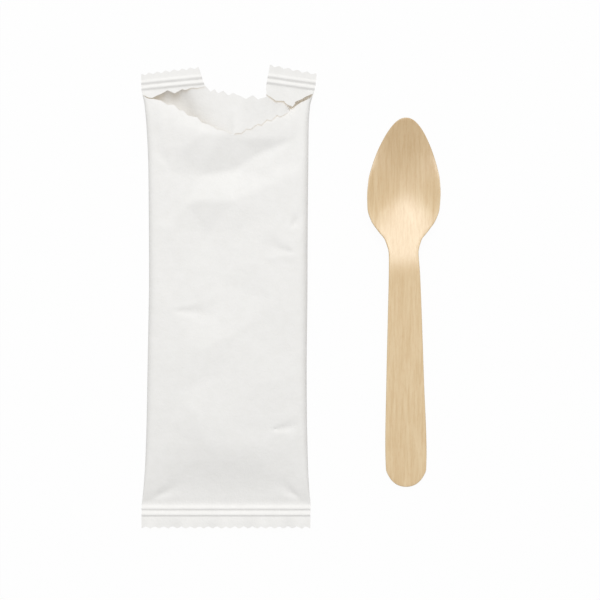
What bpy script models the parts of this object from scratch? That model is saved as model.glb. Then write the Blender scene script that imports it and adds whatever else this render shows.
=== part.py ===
"""A wooden teaspoon lying beside the torn-open paper sachet that it was packed in.

Sizes are in millimetres and are turned into metres where the meshes are made. +Z is up and +Y runs
towards the torn end and the bowl. The origin is on the ground, under the middle of the pair.
The sachet's own frame has x across from its middle line and y up from the tips of its lower cut.
The spoon's own frame has y down from the tip of the bowl.
"""
import math

import bmesh
import bpy
import numpy
from mathutils import Vector
from mathutils.geometry import delaunay_2d_cdt

MM = 0.001

# Sachet, sizes of the flat paper tube
SACHET_WIDTH = 50.4
SACHET_LENGTH = 137.8
PAPER = 0.1
TOOTH_PITCH = 2.65
TOOTH_DEPTH = 0.6
LOWER_SEAL = 7.1
LOWER_SEAL_REST = 0.85
BEAD_HEIGHT = 0.32
LOWER_BEADS = ((4.1, 0.6, 1.2), (5.9, 0.6, 1.2))
TAB_BEADS = ((0.8, 0.8, 0.9), (2.55, 0.85, 0.9))

# The tear was drawn for this width of tube, and its places are (x, distance below the top)
DRAWN_WIDTH = 50.4
LEFT_CUT = ((-25.2, 2.3), (-8.0, 0.3))
LEFT_SEAL = ((-25.2, 7.6), (-6.2, 5.8))
RIGHT_CUT = ((13.3, 0.0), (27.0, 2.2))
RIGHT_SEAL = ((12.2, 6.0), (26.2, 7.5))
FOLD_SEAL = 7.6
FOLD_OPEN = 7.2
FOLD_TEAR = 8.5

# Front panel's torn edge, and its height along x
FRONT_EDGE = (
    (-23.2, 9.6), (-21.3, 9.95), (-19.1, 10.5), (-17.2, 11.7), (-15.3, 11.9), (-13.6, 13.4), (-12.4, 13.6),
    (-11.1, 14.9), (-9.4, 15.4), (-8.2, 15.7), (-6.9, 17.1), (-4.9, 17.8), (-2.3, 19.2),
    (-0.3, 19.7), (2.3, 20.9), (4.2, 19.2), (7.0, 17.2), (11.0, 15.2), (15.0, 13.8),
    (18.8, 13.9), (19.3, 12.9), (20.3, 12.4), (22.4, 11.0), (25.2, 9.6),
)
FRONT_EDGE_HEIGHT = (
    (-24.0, 3.5), (-19.0, 4.3), (-14.0, 5.0), (-8.0, 5.6), (-3.0, 5.9), (0.0, 5.8), (2.2, 5.5),
    (4.5, 5.3), (9.0, 5.0), (14.0, 4.6), (18.5, 4.1), (22.0, 3.8), (25.0, 3.4),
)
FRONT_EDGE_REACH = 16.0

# Back sheet between the tabs: its torn upper edge, the slit below it and the heights along both
BACK_EDGE = (
    (12.2, 9.2), (10.2, 10.2), (7.9, 9.2), (6.5, 9.6), (4.8, 9.6), (2.7, 8.4), (1.4, 8.5),
    (0.4, 7.7), (-0.7, 8.1), (-2.3, 7.5), (-4.8, 6.7),
)
SLIT_EDGE = (
    (-1.2, 21.2), (1.7, 20.75), (2.7, 20.5), (4.0, 20.3), (4.8, 20.3), (6.3, 19.1), (7.5, 19.2), (9.6, 17.6),
    (10.7, 17.9), (12.3, 16.4), (13.6, 16.5), (15.3, 15.1), (16.3, 15.3), (17.6, 14.7),
    (18.3, 14.2), (18.75, 13.2), (19.1, 12.1),
)
SLIT_LIP = ((-1.2, 21.2), (3.0, 22.4), (9.0, 20.8), (15.0, 17.9), (18.0, 15.4), (18.7, 13.9), (19.1, 12.1))
UPPER_GUIDE = (*LEFT_SEAL, (-4.8, 6.7), (4.8, 9.2), (12.2, 8.8), (14.0, 6.2), RIGHT_SEAL[1])
SLIT_GUIDE = ((-25.2, 11.3), (-18.0, 12.0), (-11.0, 13.6), (-6.0, 17.3), *SLIT_EDGE, (26.5, 9.5))
UPPER_HEIGHT = (
    (-25.2, 3.15), (-20.0, 3.5), (-14.0, 3.6), (-8.0, 3.7), (-3.0, 4.1), (1.0, 4.6), (5.0, 5.2),
    (9.0, 5.7), (13.0, 5.6), (18.0, 4.9), (27.0, 3.55),
)
STRIP_HEIGHT = (
    (-25.2, 1.7), (-20.0, 1.0), (-15.0, 0.7), (-12.0, 1.1), (-8.5, 2.5), (-5.0, 3.7), (-1.2, 4.7),
    (1.3, 5.15), (3.3, 5.5), (8.0, 5.4), (18.0, 4.6), (19.1, 3.7), (20.3, 3.3), (21.8, 2.9), (26.5, 2.4),
)
LIP_HEIGHT = ((-1.2, 4.7), (2.3, 3.2), (9.0, 2.0), (15.0, 2.2), (18.0, 3.0), (19.1, 3.7))
WALL = ((-14.0, 2.4), (-8.0, 1.0))
LAP_ENDS = (1.7, 2.7, 18.5, 19.1)
LAP_GAP = 0.2
BACK_REACH = 12.0

# Front layer left on each tab below its seal, and how steeply it curls up
LEFT_FLAP = (
    (-23.0, 9.4), (-21.6, 9.5), (-20.1, 8.8), (-19.5, 8.6), (-17.2, 7.5), (-15.1, 8.1),
    (-12.8, 7.0), (-11.9, 7.2), (-9.9, 6.6), (-8.4, 6.7), (-6.1, 6.3),
)
RIGHT_FLAP = (
    (12.1, 6.6), (12.3, 8.8), (13.3, 9.6), (15.1, 10.7), (17.2, 10.8), (18.3, 11.7),
    (19.9, 12.25), (20.6, 11.4), (20.8, 10.9), (22.7, 10.0), (23.8, 9.3), (25.4, 8.6),
)
LEFT_CURL = 0.3
RIGHT_CURL = 0.3
FLAP_BLEND = 3.0

# How thick the tube is at its sides, how high its front is, how it bends and how far its right tab
# swings out: (y, size)
TOP = SACHET_LENGTH
THICKNESS = (
    (LOWER_SEAL, PAPER), (9.4, 0.9), (12.0, 1.8), (17.5, 3.1), (25.0, 4.1), (34.0, 4.9), (52.0, 5.6),
    (76.0, 5.9), (TOP - 32.8, 5.2), (TOP - 19.8, 4.1), (TOP - 11.8, 2.5), (TOP - FOLD_TEAR, 0.9),
    (TOP - FOLD_OPEN, PAPER),
)
MIDDLE = (
    (0.0, 0.0), (21.0, 0.25), (48.0, 0.45), (76.0, 0.8), (TOP - 32.8, 0.8), (TOP - 11.8, 0.4),
    (TOP - 1.8, 0.1),
)
RIGHT_SWING = ((TOP - 17.8, 0.0), (TOP - 11.8, 0.2), (TOP - 7.5, 1.0), (TOP - 2.3, 1.8))
FRONT_HEIGHT = (
    (LOWER_SEAL, PAPER), (9.4, 0.6), (12.7, 1.4), (21.0, 4.0), (26.0, 5.1), (34.0, 5.7), (60.0, 6.2),
    (95.0, 6.3), (TOP - 27.8, 6.2), (TOP - 19.8, 5.6), (TOP - 13.8, 4.2), (TOP - 8.0, 2.4),
)

# Heights of the tube's underside where it is not on the ground: (y, z)
LEFT_LIFT = (
    (TOP - 27.8, 0.0), (TOP - 19.8, 0.2), (TOP - 11.8, 1.2), (TOP - FOLD_TEAR, 2.7),
    (TOP - FOLD_SEAL, 3.1),
)
RIGHT_LIFT = (
    (TOP - 27.8, 0.0), (TOP - 19.8, 0.2), (TOP - 11.8, 1.3), (TOP - FOLD_TEAR, 3.0),
    (TOP - FOLD_SEAL, 3.5),
)
LOWER_LIFT = ((LOWER_SEAL, LOWER_SEAL_REST), (11.0, 0.45), (20.0, 0.0))

# Flat facets of the crumpled front, as the corners between them: (x, distance below the top, height)
FACETS = (
    (-23.0, 20.0, 0.0), (-23.0, 32.0, 0.0), (-23.0, 48.0, 0.0), (-23.0, 66.0, 0.0), (-23.0, 78.0, 0.0),
    (-23.0, 90.0, 0.0), (-23.0, 104.0, 0.0), (-23.0, 118.0, 0.0), (-21.0, 129.0, 0.0),
    (24.0, 14.0, 0.0), (24.0, 30.0, 0.0), (24.0, 47.0, 0.0), (24.0, 60.0, 0.0), (24.0, 76.0, 0.0),
    (24.0, 92.0, 0.0), (24.0, 106.0, 0.0), (24.0, 118.0, 0.0), (21.0, 129.0, 0.0),
    (-18.0, 14.0, 0.0), (-13.4, 25.1, 0.0), (-17.0, 31.5, -0.6), (-6.0, 20.5, 0.0),
    (-1.0, 20.8, 0.0), (2.3, 21.5, -0.2), (2.3, 31.4, -2.2), (-9.0, 34.5, -0.2), (-8.6, 40.3, 0.4),
    (2.0, 40.3, -0.4), (9.5, 26.5, -1.5), (13.0, 29.5, -0.9), (20.8, 21.8, -0.6), (16.0, 34.0, 0.2),
    (21.0, 36.0, 0.1), (13.0, 44.0, 0.0), (-11.6, 41.5, -0.3), (-5.0, 50.0, -1.8), (4.0, 49.0, -1.2),
    (-16.0, 48.0, 0.0), (-13.0, 60.0, -0.4), (-2.0, 64.0, -1.3), (9.0, 58.0, -0.1), (18.0, 54.0, 0.3),
    (14.0, 70.0, 0.2), (-15.5, 73.0, 0.2), (-6.0, 77.0, -0.5), (4.0, 79.0, 0.0), (17.0, 84.0, -0.2),
    (-8.0, 84.5, 0.3), (-2.0, 92.0, -0.3), (8.0, 94.0, 0.1), (-14.0, 97.0, -0.1), (-9.0, 103.0, 0.4),
    (-17.0, 108.0, -0.4), (2.0, 108.0, 0.0), (14.0, 107.0, -0.4), (-14.0, 119.5, 0.0),
    (-3.0, 116.0, 0.3), (8.0, 116.3, 0.3), (17.0, 122.0, 0.0), (0.0, 131.0, 0.0),
)
FACET_BLUR = 0.7

# Creases that start at a sharp tip: (x, distance below the top), heading and opening in degrees,
# length and depth, where a minus is a ridge
CREASES = (
    (-16.4, 30.8, 118.0, 60.0, 8.0, 0.3),
    (18.8, 48.6, 42.0, 60.0, 10.0, 0.6),
    (21.2, 55.9, 165.0, 50.0, 15.0, 0.5),
    (-15.8, 72.8, -4.0, 40.0, 18.0, 0.5),
    (-19.0, 82.3, 150.0, 80.0, 7.0, 0.3),
    (12.5, 108.3, 9.0, 36.0, 14.0, 0.5),
    (-23.2, 127.6, 50.0, 30.0, 14.0, 0.4),
    (23.2, 127.6, 131.0, 30.0, 14.0, 0.4),
)
SIDE_BLEND = 7.0

# Spacing of the mesh's points in the front, in the back and near the torn end of the back
FRONT_GRID = 2.4
BACK_GRID = 5.0
TORN_GRID = 2.6
SEAL_GRID = 3.4
FOLD_GRID = 4.0
SHOULDER = 25.8
SIDE_COLUMNS = 3

# Spoon, pressed from flat birch veneer: (place, steepness) of its middle, from the tip to the neck
SPOON_LENGTH = 110.0
VENEER = 1.5
BOWL_HALF_WIDTH = 10.9
NECK_HALF_WIDTH = 4.4
HANDLE_HALF_WIDTH = 6.15
BOWL_REST = 21.5
BOWL_DEPTH = 2.6
NECK = 43.5
BOWL_FALL = 0.27
NECK_CLIMB = 0.235
BOWL_TURN = 6.5
BEND = 2.0
SPOON_ROWS = 64
SPOON_COLUMNS = 10
ROUND_ENDS = (0.05, 0.25, 0.7, 1.4)
SPOON_HALF_WIDTH = (
    (-1.0, -2.9), (0.0, 0.0), (2.5, 4.15), (5.9, 6.35), (9.9, 8.2), (14.4, 9.7), (18.4, 10.6),
    (22.8, BOWL_HALF_WIDTH), (27.0, 10.7), (30.5, 9.6), (33.6, 7.5), (36.4, 5.4),
    (40.5, NECK_HALF_WIDTH), (46.0, 4.6), (58.0, 5.0), (79.0, 5.62), (99.0, HANDLE_HALF_WIDTH),
    (104.7, 6.0), (107.2, 4.95), (109.3, 2.8), (SPOON_LENGTH, 0.0), (SPOON_LENGTH + 0.8, -2.9),
)
SPOON_MIDDLE = ((0.0, 0.24), (21.5, -0.33), (37.0, -0.55), (47.8, -0.27), (76.0, 0.05), (SPOON_LENGTH, 0.48))

# Where the two lie
SACHET_PLACE = (-19.35, -68.9, 0.0)
SPOON_PLACE = (34.0, 53.45, 0.0)


def clear_scene():
    for thing in list(bpy.data.objects):
        bpy.data.objects.remove(thing, do_unlink=True)


def make_material(name, color, roughness):
    material = bpy.data.materials.new(name)
    material.use_nodes = True
    shader = material.node_tree.nodes["Principled BSDF"]
    shader.inputs["Base Color"].default_value = (*color, 1.0)
    shader.inputs["Roughness"].default_value = roughness
    shader.inputs["Metallic"].default_value = 0.0
    return material


def curve(at, knots):
    """Values on a smooth curve through (place, value) knots, level at both ends and beyond them."""
    places, values = numpy.array(knots, dtype=float).T
    steps = numpy.diff(places)
    rates = numpy.diff(values) / steps
    before, after = rates[:-1], rates[1:]
    same_way = before * after > 0
    slopes = numpy.zeros(len(places))
    slopes[1:-1][same_way] = 2 * before[same_way] * after[same_way] / (before + after)[same_way]
    at = numpy.clip(at, places[0], places[-1])
    cell = numpy.clip(numpy.searchsorted(places, at, side="right") - 1, 0, len(steps) - 1)
    step = steps[cell]
    s = (at - places[cell]) / step
    rise = s * s * (3 - 2 * s)
    leave = s * (1 - s) ** 2 * step * slopes[cell]
    arrive = s * s * (s - 1) * step * slopes[cell + 1]
    return values[cell] * (1 - rise) + values[cell + 1] * rise + leave + arrive


def drawn(x):
    """Where a place across the tube is on the drawing of the tear."""
    return x * DRAWN_WIDTH / SACHET_WIDTH


def torn(points):
    """Points of the tear, turned from (drawn x, distance below the top) into (x, y)."""
    return [(x * SACHET_WIDTH / DRAWN_WIDTH, SACHET_LENGTH - below) for x, below in points]


def line(at, ends):
    (x0, y0), (x1, y1) = torn(ends)
    return y0 + (at - x0) * (y1 - y0) / (x1 - x0)


def path(at, points):
    places, values = numpy.array(torn(points), dtype=float).T
    return numpy.interp(at, places, values)


def ease(value):
    value = numpy.clip(value, 0.0, 1.0)
    return value * value * (3 - 2 * value)


def bead(distance, beads):
    """Height of the pressed ridges at a distance in from a seal's edge: (crest, run before, run after)."""
    height = numpy.zeros_like(distance)
    for crest, before, after in beads:
        run = numpy.where(distance < crest, before, after)
        height += BEAD_HEIGHT * ease(1 - numpy.abs(distance - crest) / run)
    return height


def fold_line(side, y):
    """Where the tube's side fold is, seen from above, and the distance to it over the paper."""
    thickness = curve(y, THICKNESS)
    swing = curve(y, RIGHT_SWING) if side > 0 else 0.0
    middle = side * curve(y, MIDDLE)
    round_loss = (math.pi - 2) / 4
    fold = SACHET_WIDTH / 2 - round_loss * thickness + middle + swing
    return fold, fold + round_loss * thickness


def facets(x, y):
    """Flat facets between the corners, with softly rounded creases where they meet."""
    corners = numpy.array(FACETS)
    flat = [Vector((a, -b)) for a, b in corners[:, :2]]
    frame = [Vector(spot) for spot in ((-60.0, 60.0), (60.0, 60.0), (60.0, -240.0), (-60.0, -240.0))]
    heights = numpy.concatenate([corners[:, 2], numpy.zeros(4)])
    places, _, triangles, *_ = delaunay_2d_cdt(flat + frame, [], [], 0, 1e-4)
    places = numpy.array(places)
    total = numpy.zeros_like(x)
    turns = numpy.arange(6) * math.pi / 3
    shifts = [(0.0, 0.0), *zip(numpy.cos(turns) * FACET_BLUR, numpy.sin(turns) * FACET_BLUR)]
    for shift_x, shift_y in shifts:
        at_x, at_y = drawn(x) + shift_x, y - SACHET_LENGTH + shift_y
        found = numpy.zeros_like(x)
        for a, b, c in triangles:
            (ax, ay), (bx, by), (cx, cy) = places[[a, b, c]]
            area = (bx - ax) * (cy - ay) - (cx - ax) * (by - ay)
            share_b = ((at_x - ax) * (cy - ay) - (cx - ax) * (at_y - ay)) / area
            share_c = ((bx - ax) * (at_y - ay) - (at_x - ax) * (by - ay)) / area
            within = (share_b >= 0) & (share_c >= 0) & (share_b + share_c <= 1)
            plane = heights[a] + share_b * (heights[b] - heights[a]) + share_c * (heights[c] - heights[a])
            found = numpy.where(within, plane, found)
        total = total + found / len(shifts)
    return total


def crease(x, y, tip_x, below, heading, opening, length, depth):
    """A fold that starts at a sharp tip and opens out, as creased paper does."""
    tip_x, tip_y = torn([(tip_x, below)])[0]
    along_x = math.cos(math.radians(heading))
    along_y = math.sin(math.radians(heading))
    along = (x - tip_x) * along_x + (y - tip_y) * along_y
    across = (y - tip_y) * along_x - (x - tip_x) * along_y
    part = numpy.clip(along / length, 0.0, 1.0)
    half = numpy.maximum(along * math.tan(math.radians(opening) / 2), 0.3)
    tent = numpy.maximum(0.0, 1 - numpy.sqrt((across / half) ** 2 + 0.01))
    return 6.75 * depth * part * (1 - part) ** 2 * tent


def front_body(x, y):
    """Height of the front panel before it was torn."""
    aside = numpy.clip(numpy.abs(x) / (SACHET_WIDTH / 2), 0.0, 1.0) ** 2
    height = curve(y, THICKNESS) * aside + curve(y, FRONT_HEIGHT) * (1 - aside)
    height = height + curve(y, LOWER_LIFT)
    settle = ease((y - LOWER_SEAL) / 3.0)
    height = height + settle * facets(x, y)
    for fold in CREASES:
        height = height - settle * crease(x, y, *fold)
    return height


def front_sheet(x, y):
    """Height of the front panel, with its torn edge lifted or pressed down."""
    edge = path(x, FRONT_EDGE)
    near = ease(1 - (edge - y) / FRONT_EDGE_REACH)
    return front_body(x, y) + near * (curve(drawn(x), FRONT_EDGE_HEIGHT) - front_body(x, edge))


def back_sheet(x, y):
    """Height of the back: flat on the ground, up to the tabs, and forward over the slit."""
    slit = path(x, SLIT_GUIDE)
    upper = path(x, UPPER_GUIDE)
    across = drawn(x)
    split_here = (across > SLIT_EDGE[0][0]) & (across < SLIT_EDGE[-1][0])
    strip = curve(across, STRIP_HEIGHT)
    lap = ease((across - LAP_ENDS[0]) / (LAP_ENDS[1] - LAP_ENDS[0]))
    lap = lap * ease((LAP_ENDS[3] - across) / (LAP_ENDS[3] - LAP_ENDS[2]))
    edge = numpy.maximum(path(x, FRONT_EDGE), slit)
    front = numpy.maximum(front_sheet(x, slit), front_sheet(x, edge))
    strip = strip + lap * (front + PAPER + LAP_GAP - strip)
    start = slit + lap * (edge - slit)
    lip = numpy.where(split_here, curve(across, LIP_HEIGHT), strip)
    climb = numpy.clip((y - start) / numpy.maximum(upper - start, 0.5), 0.0, 1.0)
    above = strip + (curve(across, UPPER_HEIGHT) - strip) * climb ** curve(across, WALL)
    below = lip * ease(1 - (slit - y) / BACK_REACH) + curve(y, LOWER_LIFT)
    middle = numpy.where(split_here, (path(x, SLIT_LIP) + slit) / 2, slit)
    return numpy.where(y >= middle, above, below) + PAPER / 2


def flap_sheet(x, y, side):
    """Height of the front layer on a tab, curling up below the seal."""
    seal, curl = (RIGHT_SEAL, RIGHT_CURL) if side > 0 else (LEFT_SEAL, LEFT_CURL)
    below = numpy.maximum(line(x, seal) - y, 0.0)
    return curve(drawn(x), UPPER_HEIGHT) + 1.5 * PAPER + curl * below


def seal_bead(x, y):
    lower = bead(y, LOWER_BEADS)
    left = bead(y - line(x, LEFT_SEAL), TAB_BEADS)
    right = bead(y - line(x, RIGHT_SEAL), TAB_BEADS)
    upper = numpy.where(drawn(x) < (LEFT_SEAL[1][0] + RIGHT_SEAL[0][0]) / 2, left, right)
    return numpy.where(y > SACHET_LENGTH / 2, upper, lower)


def place_points(points, sheet):
    """Points of a flat sheet, (distance over the paper from the middle, y), put where they lie."""
    q, y = numpy.array(points, dtype=float).T
    side = numpy.where(q < 0, -1.0, 1.0)
    left_fold, left_reach = fold_line(-1, y)
    right_fold, right_reach = fold_line(1, y)
    fold = numpy.where(q < 0, left_fold, right_fold)
    reach = numpy.where(q < 0, left_reach, right_reach)
    radius = curve(y, THICKNESS) / 2
    angle = numpy.clip((numpy.abs(q) - (fold - radius)) / radius, 0.0, math.pi / 2)
    x = numpy.where(angle > 0, side * (fold - radius + radius * numpy.sin(angle)), q)
    lift = numpy.where(q < 0, curve(y, LEFT_LIFT), curve(y, RIGHT_LIFT)) + curve(y, LOWER_LIFT)
    round_height = lift + PAPER / 2 + radius
    if sheet == "back":
        round_height = round_height - radius * numpy.cos(angle)
        height = back_sheet(x, y)
    else:
        round_height = round_height + radius * numpy.cos(angle)
        height = front_sheet(x, y) + PAPER / 2 if sheet == "front" else flap_sheet(x, y, q[0])
    blend = FLAP_BLEND if sheet.endswith("flap") else SIDE_BLEND
    inward = ease((reach - numpy.abs(q)) / blend)
    z = round_height + (height - round_height) * inward + seal_bead(x, y)
    return numpy.stack([x, y, z], axis=1)


def teeth(start, end):
    """Points of a pinked cut from start to end, with the tips on the line."""
    run = Vector(end) - Vector(start)
    count = max(1, round(run.length / TOOTH_PITCH))
    inward = Vector((-run.y, run.x)).normalized() * TOOTH_DEPTH
    points = [tuple(start)]
    for tooth in range(count):
        points.append(tuple(Vector(start) + run * (tooth + 0.5) / count + inward))
        points.append(tuple(Vector(start) + run * (tooth + 1) / count))
    return points


def fold_points(side, start, end, spacing):
    """Points on a side fold from y = start to y = end."""
    count = max(1, math.ceil(abs(end - start) / spacing))
    points = []
    for step in range(count + 1):
        y = start + (end - start) * step / count
        points.append((side * float(fold_line(side, numpy.array(y))[1]), y))
    return points


def open_run(*runs):
    """One line from runs of points that meet end to end."""
    joint = []
    for run in runs:
        for point in run:
            if not joint or math.dist(point, joint[-1]) > 0.01:
                joint.append(tuple(point))
    return joint


def joined(*runs):
    """One closed outline from runs of points that meet end to end."""
    outline = open_run(*runs)
    if math.dist(outline[0], outline[-1]) < 0.01:
        outline.pop()
    return outline


def inside(points, outline):
    """Which of the points are inside a closed outline."""
    x, y = points.T
    found = numpy.zeros(len(points), dtype=bool)
    for (x0, y0), (x1, y1) in zip(outline, outline[1:] + outline[:1]):
        if y0 != y1:
            crosses = (y0 > y) != (y1 > y)
            found ^= crosses & (x < x0 + (y - y0) * (x1 - x0) / (y1 - y0))
    return found


def clear_of(points, segments, distance):
    """Which of the points are farther than a distance from every segment."""
    clear = numpy.ones(len(points), dtype=bool)
    for start, end in segments:
        start, end = numpy.array(start), numpy.array(end)
        run = end - start
        along = numpy.clip((points - start) @ run / max(run @ run, 1e-9), 0.0, 1.0)
        gap = numpy.linalg.norm(points - start - along[:, None] * run, axis=1)
        clear &= gap > distance
    return clear


def grid(spacing, low, high):
    """Evenly staggered points between y = low and y = high, short of the rounded sides."""
    points = []
    rows = math.ceil((high - low) / (spacing * 0.87))
    for row in range(rows + 1):
        y = low + (high - low) * row / rows
        round_run = curve(numpy.array(y), THICKNESS) * math.pi / 4
        left = -float(fold_line(-1, numpy.array(y))[1] - round_run)
        right = float(fold_line(1, numpy.array(y))[1] - round_run)
        count = math.ceil((right - left) / spacing)
        shift = 0.5 if row % 2 else 0.0
        for column in range(count):
            points.append((left + (right - left) * (column + shift) / count, y))
    return points


def side_columns(fold, columns):
    """Lines of points around a rounded side, beside its fold."""
    lines = []
    for column in range(1, columns + 1):
        points = []
        for reach, y in fold[1:-1]:
            round_run = float(curve(numpy.array(y), THICKNESS)) * math.pi / 4
            points.append((reach - math.copysign(round_run * column / columns, reach), y))
        lines.append(points)
    return lines


def fill_sheet(outline, holes, rows, grids):
    """Triangles over a flat outline with holes, through rows of points and loose grid points."""
    points, edges = [], []
    for ring in [outline, *holes]:
        first = len(points)
        points.extend(ring)
        edges.extend((first + i, first + (i + 1) % len(ring)) for i in range(len(ring)))
    for row in rows:
        first = len(points)
        points.extend(row)
        edges.extend((first + i, first + i + 1) for i in range(len(row) - 1))
    segments = [(points[a], points[b]) for a, b in edges]
    for spacing, loose in grids:
        loose = numpy.array(loose)
        keep = inside(loose, outline) & clear_of(loose, segments, spacing * 0.45)
        for hole in holes:
            keep &= ~inside(loose, hole)
        points.extend(map(tuple, loose[keep]))
    flat = delaunay_2d_cdt([Vector(point) for point in points], edges, [], 0, 1e-5)
    corners, faces = numpy.array(flat[0]), numpy.array(flat[2])
    middles = corners[faces].mean(axis=1)
    keep = inside(middles, outline)
    for hole in holes:
        keep &= ~inside(middles, hole)
    return corners, faces[keep]


def seal_row(distance, side):
    """A row of points along a pressed ridge: the lower seal (side 0) or a tab's (-1 or 1)."""
    if side == 0:
        ends = [(way * float(fold_line(way, numpy.array(distance))[1]), distance) for way in (-1, 1)]
    else:
        seal, cut = (LEFT_SEAL, LEFT_CUT) if side < 0 else (RIGHT_SEAL, RIGHT_CUT)
        y = SACHET_LENGTH - FOLD_SEAL + distance
        fold = (side * float(fold_line(side, numpy.array(y))[1]), y)
        inner = 1 if side < 0 else 0
        seal_end, cut_end = torn(seal)[inner], torn(cut)[inner]
        full = cut_end[1] - line(cut_end[0], seal)
        rim = tuple(Vector(seal_end).lerp(Vector(cut_end), distance / full))
        ends = [fold, rim] if side < 0 else [rim, fold]
    count = math.ceil(math.dist(*ends) / SEAL_GRID)
    return [tuple(Vector(ends[0]).lerp(Vector(ends[1]), step / count)) for step in range(count + 1)]


def bead_rows(beads, side):
    """Rows of points at the feet and crests of pressed ridges, from the seal's edge inwards."""
    places = set()
    for crest, before, after in beads:
        places.update((round(crest - before, 3), crest, round(crest + after, 3)))
    return [seal_row(place, side) for place in sorted(places)]


def sealed(points):
    """Which points of a sheet lie where front and back are bonded."""
    x, y = points.T
    left = (x < torn(LEFT_SEAL)[1][0] + 0.01) & (y > line(x, LEFT_SEAL))
    right = (x > torn(RIGHT_SEAL)[0][0] - 0.01) & (y > line(x, RIGHT_SEAL))
    return (y < LOWER_SEAL) | ((y > SACHET_LENGTH / 2) & (left | right))


def sachet_sheets():
    """The four areas of the flat sachet: (sheet, corners, faces), and its fold points."""
    lower = bead_rows(LOWER_BEADS, 0)
    left = bead_rows(TAB_BEADS, -1)
    right = bead_rows(TAB_BEADS, 1)
    lower_cut = teeth((-SACHET_WIDTH / 2, 0.0), (SACHET_WIDTH / 2, 0.0))
    left_cut = teeth(*torn(LEFT_CUT)[::-1])
    right_cut = teeth(*torn(RIGHT_CUT)[::-1])
    tear_end = SACHET_LENGTH - FOLD_TEAR
    shoulder = SACHET_LENGTH - SHOULDER
    folds = {}
    for side, tab, cut in ((-1, left, left_cut), (1, right, right_cut)):
        end = 0 if side < 0 else -1
        stops = [(LOWER_SEAL, 13.0, 1.5), (13.0, shoulder, FOLD_GRID), (shoulder, tear_end, 2.0)]
        folds[side] = {
            "seal": [lower_cut[end]] + [row[end] for row in lower],
            "body": open_run(*(fold_points(side, *stop) for stop in stops)),
            "tab": [row[end] for row in tab] + [cut[-1] if side < 0 else cut[0]],
        }
    rims = {-1: [row[-1] for row in left] + [left_cut[0]], 1: [row[0] for row in right] + [right_cut[-1]]}
    columns = side_columns(folds[-1]["body"], SIDE_COLUMNS) + side_columns(folds[1]["body"], SIDE_COLUMNS)
    panel = joined(
        lower_cut, folds[1]["seal"], folds[1]["body"], torn(FRONT_EDGE)[::-1],
        folds[-1]["body"][::-1], folds[-1]["seal"][::-1],
    )
    back = joined(
        lower_cut, folds[1]["seal"], folds[1]["body"], folds[1]["tab"], right_cut, rims[1][::-1],
        torn(BACK_EDGE), rims[-1], left_cut, folds[-1]["tab"][::-1], folds[-1]["body"][::-1],
        folds[-1]["seal"][::-1],
    )
    left_flap = joined([folds[-1]["body"][-1]], torn(LEFT_FLAP), rims[-1], left_cut, folds[-1]["tab"][::-1])
    right_flap = joined(torn(RIGHT_FLAP), [folds[1]["body"][-1]], folds[1]["tab"], right_cut, rims[1][::-1])
    slit = torn(SLIT_EDGE) + torn(SLIT_LIP)[-2:0:-1]
    front_grid = [(FRONT_GRID, grid(FRONT_GRID, LOWER_SEAL, tear_end))]
    back_grids = [
        (TORN_GRID, grid(TORN_GRID, shoulder - 4.0, SACHET_LENGTH - 6.0)),
        (BACK_GRID, grid(BACK_GRID, LOWER_SEAL, shoulder - 5.0)),
    ]
    flap_grid = [(TORN_GRID, grid(TORN_GRID, SACHET_LENGTH - 12.0, SACHET_LENGTH - 7.0))]
    sheets = [
        ("front", *fill_sheet(panel, [], lower + columns, front_grid)),
        ("left flap", *fill_sheet(left_flap, [], left, flap_grid)),
        ("right flap", *fill_sheet(right_flap, [], right, flap_grid)),
        ("back", *fill_sheet(back, [slit], lower + left + right + columns, back_grids)),
    ]
    shared = {key(point) for side in folds for run in folds[side].values() for point in run}
    return sheets, shared


def key(point):
    rounded = numpy.float32(point)
    return round(float(rounded[0]), 3), round(float(rounded[1]), 3)


def paper_mesh(sheets, shared):
    """One closed body of paper: an outer skin, an inner skin where the sheets part, and torn rims."""
    index, places, faces, bonded = {}, [], [], []
    partner = {}
    for sheet, corners, triangles in sheets:
        spots = place_points(corners, sheet)
        layer = "back" if sheet == "back" else "front"
        own = []
        for corner, spot in zip(corners, spots):
            name = ("fold", *key(corner)) if key(corner) in shared else (layer, *key(corner))
            if name not in index:
                index[name] = len(places)
                places.append(spot)
            own.append(index[name])
        turned = triangles[:, ::-1] if sheet == "back" else triangles
        faces.extend(tuple(own[corner] for corner in triangle) for triangle in turned)
        bonded.extend(sealed(corners[triangles].mean(axis=1)))
    for name, number in index.items():
        other = {"front": "back", "back": "front", "fold": "fold"}[name[0]]
        partner[number] = index.get((other, *name[1:]))
    places = numpy.array(places)
    normals = numpy.zeros_like(places)
    for a, b, c in faces:
        normals[[a, b, c]] += numpy.cross(places[b] - places[a], places[c] - places[a])
    for name, number in index.items():
        if name[0] == "fold":
            normals[number] = (math.copysign(1.0, name[1]), 0.0, 0.0)
    normals /= numpy.linalg.norm(normals, axis=1, keepdims=True)
    return places, normals, faces, bonded, partner


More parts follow.
